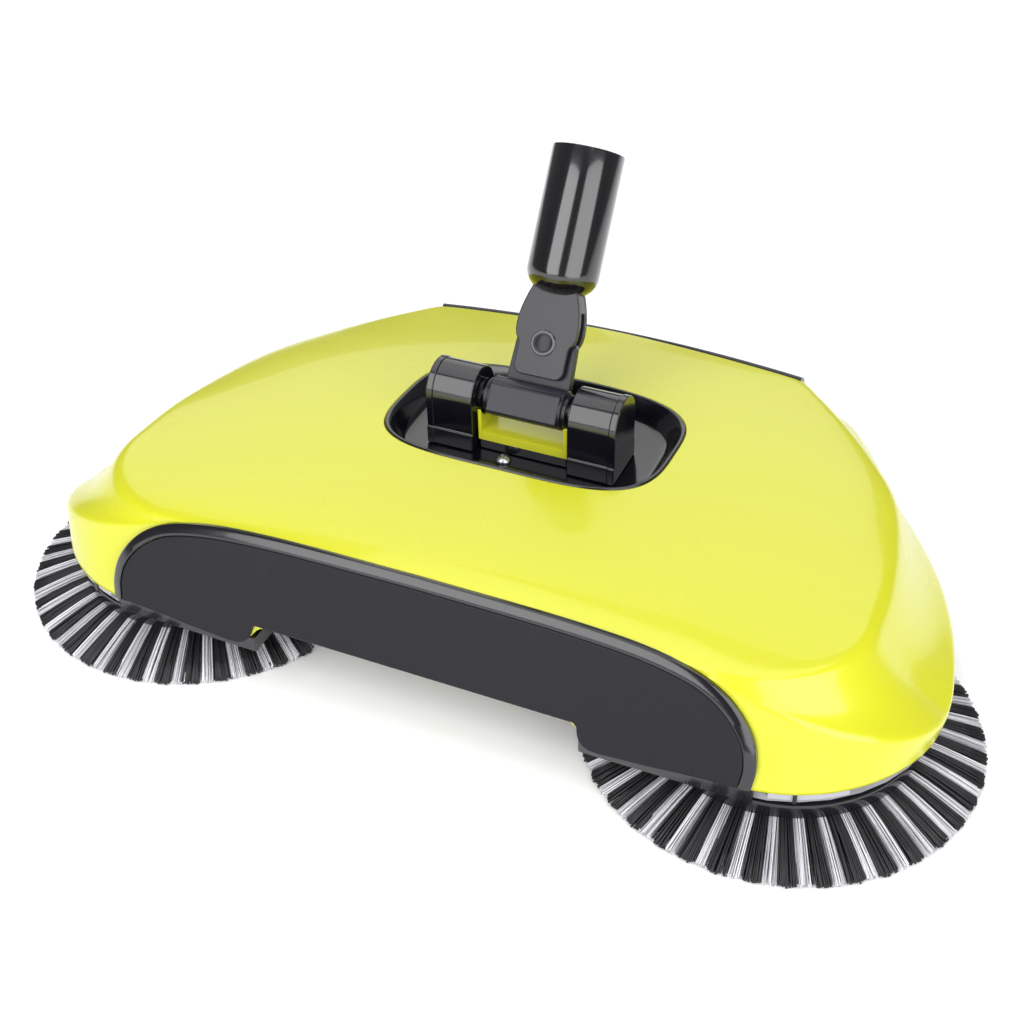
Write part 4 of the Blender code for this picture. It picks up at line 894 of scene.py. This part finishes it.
def brush_tufts(name, side):
    """Black and clear tufts in turn all round the disc."""
    middle = Matrix.Translation((BRUSH_X * side, 0, 0))
    dice = random.Random(7 + side)
    pitch = 2 * math.pi / TUFT_PAIRS
    for label, look, share, strands, spread, width in (
        ("black", BLACK_NYLON, 0.0, 36, 3.3, 0.44),
        ("clear", WHITE_NYLON, 0.5, 24, 2.5, 0.28),
    ):
        bm = bmesh.new()
        layer = bm.verts.layers.float.new("strand")
        kinds = []
        for _ in range(TUFT_KINDS):
            before = set(bm.verts)
            tuft(bm, layer, dice, strands, spread, width)
            verts = [vert for vert in bm.verts if vert not in before]
            edges = {edge for vert in verts for edge in vert.link_edges}
            faces = {face for vert in verts for face in vert.link_faces}
            kinds.append([*verts, *edges, *faces])
        for number, kind in enumerate(kinds):
            spots = []
            for index in range(number, TUFT_PAIRS, TUFT_KINDS):
                angle = pitch * (index + share) + dice.uniform(-0.008, 0.008)
                spots.append(middle @ Matrix.Rotation(angle, 4, "Z"))
            repeat(bm, kind, spots)
        stands_for = (f"brush_bristles_{name}",) if label == "black" else ()
        body = f"side_brush_{name}"
        piece(bm, f"{label}_tufts_{name}", look, body, stands_for, sharp=180.0)


def brush_disc(name, side):
    """The black disc with its rim, the groove the tufts sit in, and ribs on its underside."""
    centre = Vector((BRUSH_X * side, 0, 0))
    body = f"side_brush_{name}"
    bm = bmesh.new()
    profile = [(3.3, 10.4), (37.5, 10.4), (39.0, 10.0), (42.6, 9.2), (43.4, 9.0), (51.7, 9.0), (52.3, 9.3)]
    profile += [(52.5, 9.9), (52.5, 14.4), (52.2, 15.3), (51.3, 15.8), (45.0, 15.8), (43.8, 15.2)]
    profile += [(42.2, 13.2)]
    profile += [(41.5, 12.6), (8.6, 12.6), (8.0, 13.2), (8.0, 15.8), (3.3, 15.8)]
    turned(bm, profile, centre, (0, 0, 1), (1, 0, 0), 112)
    piece(bm, f"disc_{name}", BLACK, body, (f"brush_disc_{name}",), sharp=32.0)
    bm = bmesh.new()
    for index in range(8):
        made = box(bm, (7.5, -0.8, 8.9), (38.4, 0.8, 10.6))
        turn = Matrix.Translation(centre) @ Matrix.Rotation(math.pi / 4 * index, 4, "Z")
        bmesh.ops.transform(bm, matrix=turn, verts=made)
    piece(bm, f"disc_ribs_{name}", BLACK, body, (), bevel=0.25)
    bm = bmesh.new()
    cap = [(0, 8.2), (4.0, 8.2), (5.6, 8.6), (6.6, 9.4), (6.8, 10.6), (0, 10.6)]
    turned(bm, cap, centre, (0, 0, 1), (1, 0, 0), 48)
    piece(bm, f"disc_cap_{name}", BLACK, body, (), sharp=30.0)


# Wheels and roller


def tyres():
    """Soft tyres with a tread of shallow cross bars."""
    for side, name in ((-1, "left"), (1, "right")):
        middle, half = 36.0 * side, 6.0
        centre = (middle, 0, AXLE_Z)
        bm = bmesh.new()
        profile = [(RIM_R + 0.1, -half), (23.4, -half), (24.2, -half + 0.4), (24.5, -half + 1.2)]
        profile += [(24.5, half - 1.2), (24.2, half - 0.4), (23.4, half), (RIM_R + 0.1, half)]
        turned(bm, profile, centre, (1, 0, 0), (0, 0, -1), 72)
        stands_for = (f"tyre_{name}",)
        piece(bm, f"tyre_band_{name}", RUBBER, "wheels", stands_for, sharp=30.0)
        bm = bmesh.new()
        for index in range(36):
            made = box(bm, (-4.9, -0.9, -TYRE_R), (4.9, 0.9, -23.9))
            spot = Matrix.Translation(centre) @ Matrix.Rotation(math.pi / 18 * index, 4, "X")
            bmesh.ops.transform(bm, matrix=spot, verts=made)
        piece(bm, f"tyre_tread_{name}", RUBBER, "wheels", (), bevel=0.2)


def roller_y():
    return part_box("roller_core")[0].lerp(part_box("roller_core")[1], 0.5).y * 1000 + BRUSH_LINE


def roller():
    """The roller's twelve slightly twisted rows of tufts, black and clear in turn."""
    y = roller_y()
    dice = random.Random(21)
    way, across = Vector((0, 0, 1)), Vector((1, 0, 0))
    holes = 22
    for start, label, look in ((0, "black", BLACK_NYLON), (1, "clear", WHITE_NYLON)):
        bm = bmesh.new()
        layer = bm.verts.layers.float.new("strand")
        for _ in range(14):
            side = dice.uniform(-1, 1)
            foot = way * 6.6 + across * side * 1.1 + Vector((0, dice.uniform(-0.7, 0.7), 0))
            reach = ROLLER_R - 6.9 - dice.uniform(0, 0.6)
            strand(bm, layer, foot, way, across, reach, side * 0.9, 0.0, 0.26, dice.random())
        spots = []
        for row in range(start, 12, 2):
            for hole in range(holes):
                x = (ROLLER_HALF - 2.4) * (2 * hole / (holes - 1) - 1)
                turn = Matrix.Rotation(row * math.pi / 6 + x * 0.006, 4, "X")
                flip = Matrix.Rotation(math.pi * (hole % 2), 4, "Z")
                spots.append(Matrix.Translation((x, y, ROLLER_Z)) @ turn @ flip)
        repeat(bm, [*bm.verts, *bm.edges, *bm.faces], spots)
        stands_for = ("roller_bristles",) if label == "black" else ()
        piece(bm, f"roller_tufts_{label}", look, "roller", stands_for, sharp=180.0)


# Drawer


def rear_edge(x):
    return 155.4 - 3.0 * (x / 88.0) ** 2


def drawer_face():
    """The drawer's curved back: it starts as a thin lip at the deck and slopes down to the tray."""
    bm = bmesh.new()
    columns = 28
    half = DRAWER_HALF + 0.3
    strips, rows = [], []
    for step in range(columns + 1):
        x = -half + 2 * half * step / columns
        lip = rear_edge(x) + 0.5
        bow = 1.6 * (1 - (x / half) ** 2)
        top = crown(x, lip) - 0.1
        edge = [(lip, 46.0), (lip, top - 0.5), (lip + 0.4, top - 0.1), (lip + 1.3, top - 0.1)]
        edge += [(lip + 2.0, top - 0.6)]
        edge += [(159.4 + bow, 51.0), (164.0 + bow, 43.0), (168.6 + bow, 36.0), (172.0 + bow, 30.5)]
        edge += [(173.1 + bow, 27.6), (173.4 + bow, 24.0), (173.4 + bow, 14.0), (173.0 + bow, 11.0)]
        edge += [(171.4 + bow, 9.0), (168.0 + bow, 7.8), (155.0, 6.0), (155.0, 8.5), (168.2, 10.6)]
        edge += [(170.2, 15.0)]
        edge += [(170.2, 27.0), (161.6, 42.0), (157.2 + bow * 0.2, 46.0)]
        verts = [bm.verts.new((x, y, z)) for y, z in edge]
        ring = [bm.edges.new((verts[i - 1], verts[i])) for i in range(len(verts))]
        if strips:
            bmesh.ops.bridge_loops(bm, edges=strips[-1] + ring)
        strips.append(ring)
        rows.append(verts)
    bm.faces.new(rows[0])
    bm.faces.new(list(reversed(rows[-1])))
    made = piece(bm, "drawer_face", SATIN, "drawer", ("dust_drawer",), sharp=32.0)
    bm = bmesh.new()
    box(bm, (-26.0, 165.0, 4.0), (26.0, 190.0, 13.5))
    bmesh.ops.bevel(
        bm, geom=bm.edges[:], offset=4.0, offset_type="OFFSET", segments=5, profile=0.5,
        affect="EDGES", material=-1,
    )
    cut(made, piece(bm, "finger_cutter", SATIN, None))
    made.data.set_sharp_from_angle(angle=math.radians(32))


def drawer_tray():
    """The open tray behind the roller, with a low front lip and ribs under its floor."""
    low, top, wall, half, front, back = 5.0, 48.0, 2.0, 82.5, 72.0, 156.0
    bm = bmesh.new()
    box(bm, (-half, front, low), (half, back, top))
    made = piece(bm, "tray", SATIN, "drawer", ())
    bm = bmesh.new()
    box(bm, (-half + wall, front + wall, low + wall), (half - wall, back - 3.0, top + 5))
    cut(made, piece(bm, "tray_cutter", SATIN, None))
    bm = bmesh.new()
    box(bm, (-half + wall, front - 5, low + 9.0), (half - wall, front + 5, top + 5))
    cut(made, piece(bm, "lip_cutter", SATIN, None))
    step = made.modifiers.new("edges", "BEVEL")
    step.width, step.segments, step.limit_method = 0.0005, 2, "ANGLE"
    made.data.set_sharp_from_angle(angle=math.radians(30))
    bm = bmesh.new()
    for x in (-54.0, -27.0, 0.0, 27.0, 54.0):
        box(bm, (x - 0.9, front + 6, low - 0.9), (x + 0.9, back - 6, low + 0.2))
    piece(bm, "tray_ribs", SATIN, "drawer", (), bevel=0.25)


# Screws


def recessed_screw(name, node, spot, up, head_r, height, length):
    """A domed screw head with a cross recess."""
    bm = bmesh.new()
    profile = [(0, height), (head_r * 0.45, height * 0.94), (head_r * 0.8, height * 0.68)]
    profile += [(head_r * 0.97, height * 0.3), (head_r, 0), (1.6, 0), (1.6, -length), (0, -length)]
    turned(bm, profile, spot, (0, 0, up), (1, 0, 0), 32)
    made = piece(bm, name, STEEL, ROOT, (node,), sharp=30.0)
    for turn in (0, math.pi / 2):
        bm = bmesh.new()
        verts = box(bm, (-head_r * 0.55, -0.38, height * 0.35), (head_r * 0.55, 0.38, height * 2))
        flip = Matrix.Rotation(math.pi if up < 0 else 0.0, 4, "X")
        way = Matrix.Translation(spot) @ flip @ Matrix.Rotation(turn + 0.5, 4, "Z")
        bmesh.ops.transform(bm, matrix=way, verts=verts)
        cut(made, piece(bm, "recess_cutter", STEEL, None))
    made.data.set_sharp_from_angle(angle=math.radians(30))


def screws():
    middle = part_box("well_screw")[0].lerp(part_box("well_screw")[1], 0.5) * 1000
    spot = (middle.x, middle.y + BRUSH_LINE, WELL_FLOOR + 0.3)
    recessed_screw("screw_in_well", "well_screw", spot, 1, 3.2, 1.9, 7.0)
    for side in ("left", "right"):
        for number in (1, 2):
            node = f"cover_screw_{side}_{number}"
            low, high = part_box(node)
            middle = low.lerp(high, 0.5) * 1000
            spot = (middle.x, middle.y + BRUSH_LINE, 17.3)
            recessed_screw(f"screw_under_{side}_{number}", node, spot, -1, 3.2, 1.9, 11.0)


# Carried-over pieces


def dress():
    """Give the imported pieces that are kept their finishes."""
    looks = {
        "base_frame": GREY, "gearbox_side_left": GREY, "gearbox_side_right": GREY,
        "drawer_runner_left": GREY, "drawer_runner_right": GREY, "wheel_left": GREY, "wheel_right": GREY,
        "rear_wheel_left": RUBBER, "rear_wheel_right": RUBBER, "roller_core": BLACK,
    }
    for name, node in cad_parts.items():
        if node.hide_render:
            continue
        look = looks.get(name)
        if look is None:
            look = ACETAL if ("gear" in name or "pinion" in name) and "screw" not in name else STEEL
        node.data.materials.clear()
        node.data.materials.append(look)


# Studio


def studio():
    """A plain pale floor, soft light all round, and long soft boxes."""
    bpy.ops.mesh.primitive_plane_add(size=8.0, location=(0, 0, -0.0004))
    floor = bpy.context.object
    floor.name = "floor"
    look = bpy.data.materials.new("floor white")
    look.use_nodes = True
    shader = look.node_tree.nodes["Principled BSDF"]
    shader.inputs["Base Color"].default_value = (0.97, 0.97, 0.97, 1.0)
    shader.inputs["Roughness"].default_value = 0.9
    shader.inputs["Specular IOR Level"].default_value = 0.1
    floor.data.materials.append(look)

    world = bpy.data.worlds.new("studio")
    scene.world = world
    world.use_nodes = True
    world.node_tree.nodes["Background"].inputs["Color"].default_value = (1.0, 1.0, 1.0, 1.0)
    world.node_tree.nodes["Background"].inputs["Strength"].default_value = 0.18

    def soft_box(name, spot, aim, rise, size, power):
        """A soft box at a spot, aimed at another, whose long side runs along the direction rise."""
        data = bpy.data.lights.new(name, "AREA")
        data.shape = "RECTANGLE"
        data.size, data.size_y = size
        data.energy = power
        lamp = bpy.data.objects.new(name, data)
        scene.collection.objects.link(lamp)
        back = (Vector(spot) - Vector(aim)).normalized()
        across = Vector(rise).cross(back).normalized()
        turn = Matrix((across, back.cross(across), back)).transposed().to_4x4()
        lamp.matrix_world = Matrix.Translation(spot) @ turn

    handle = (0.0, math.sin(LEAN), math.cos(LEAN))
    socket_middle = (0.0, 0.042, 0.120)
    soft_box("left_of_camera", (-0.36, -1.14, 0.84), socket_middle, handle, (0.98, 1.7), 21.0)
    soft_box("right_of_camera", (1.10, -0.69, 0.61), socket_middle, handle, (1.22, 1.7), 22.0)
    soft_box("behind", (-0.55, 1.35, 1.1), (0, 0, 0.05), (0, 0, 1), (2.2, 1.3), 12.0)
    soft_box("overhead", (0.0, 0.25, 2.4), (0, 0, 0), (0, 1, 0), (2.4, 2.0), 26.0)
    scene.view_settings.view_transform = "Standard"


cover()
frame_lip()
front_rim()
front_plate()
front_feet()
well()
ears()
saddle()
cross_bar()
fork()
for brush_name, brush_side in (("left", -1), ("right", 1)):
    brush_tufts(brush_name, brush_side)
    brush_disc(brush_name, brush_side)
tyres()
roller()
drawer_face()
drawer_tray()
screws()
dress()
studio()
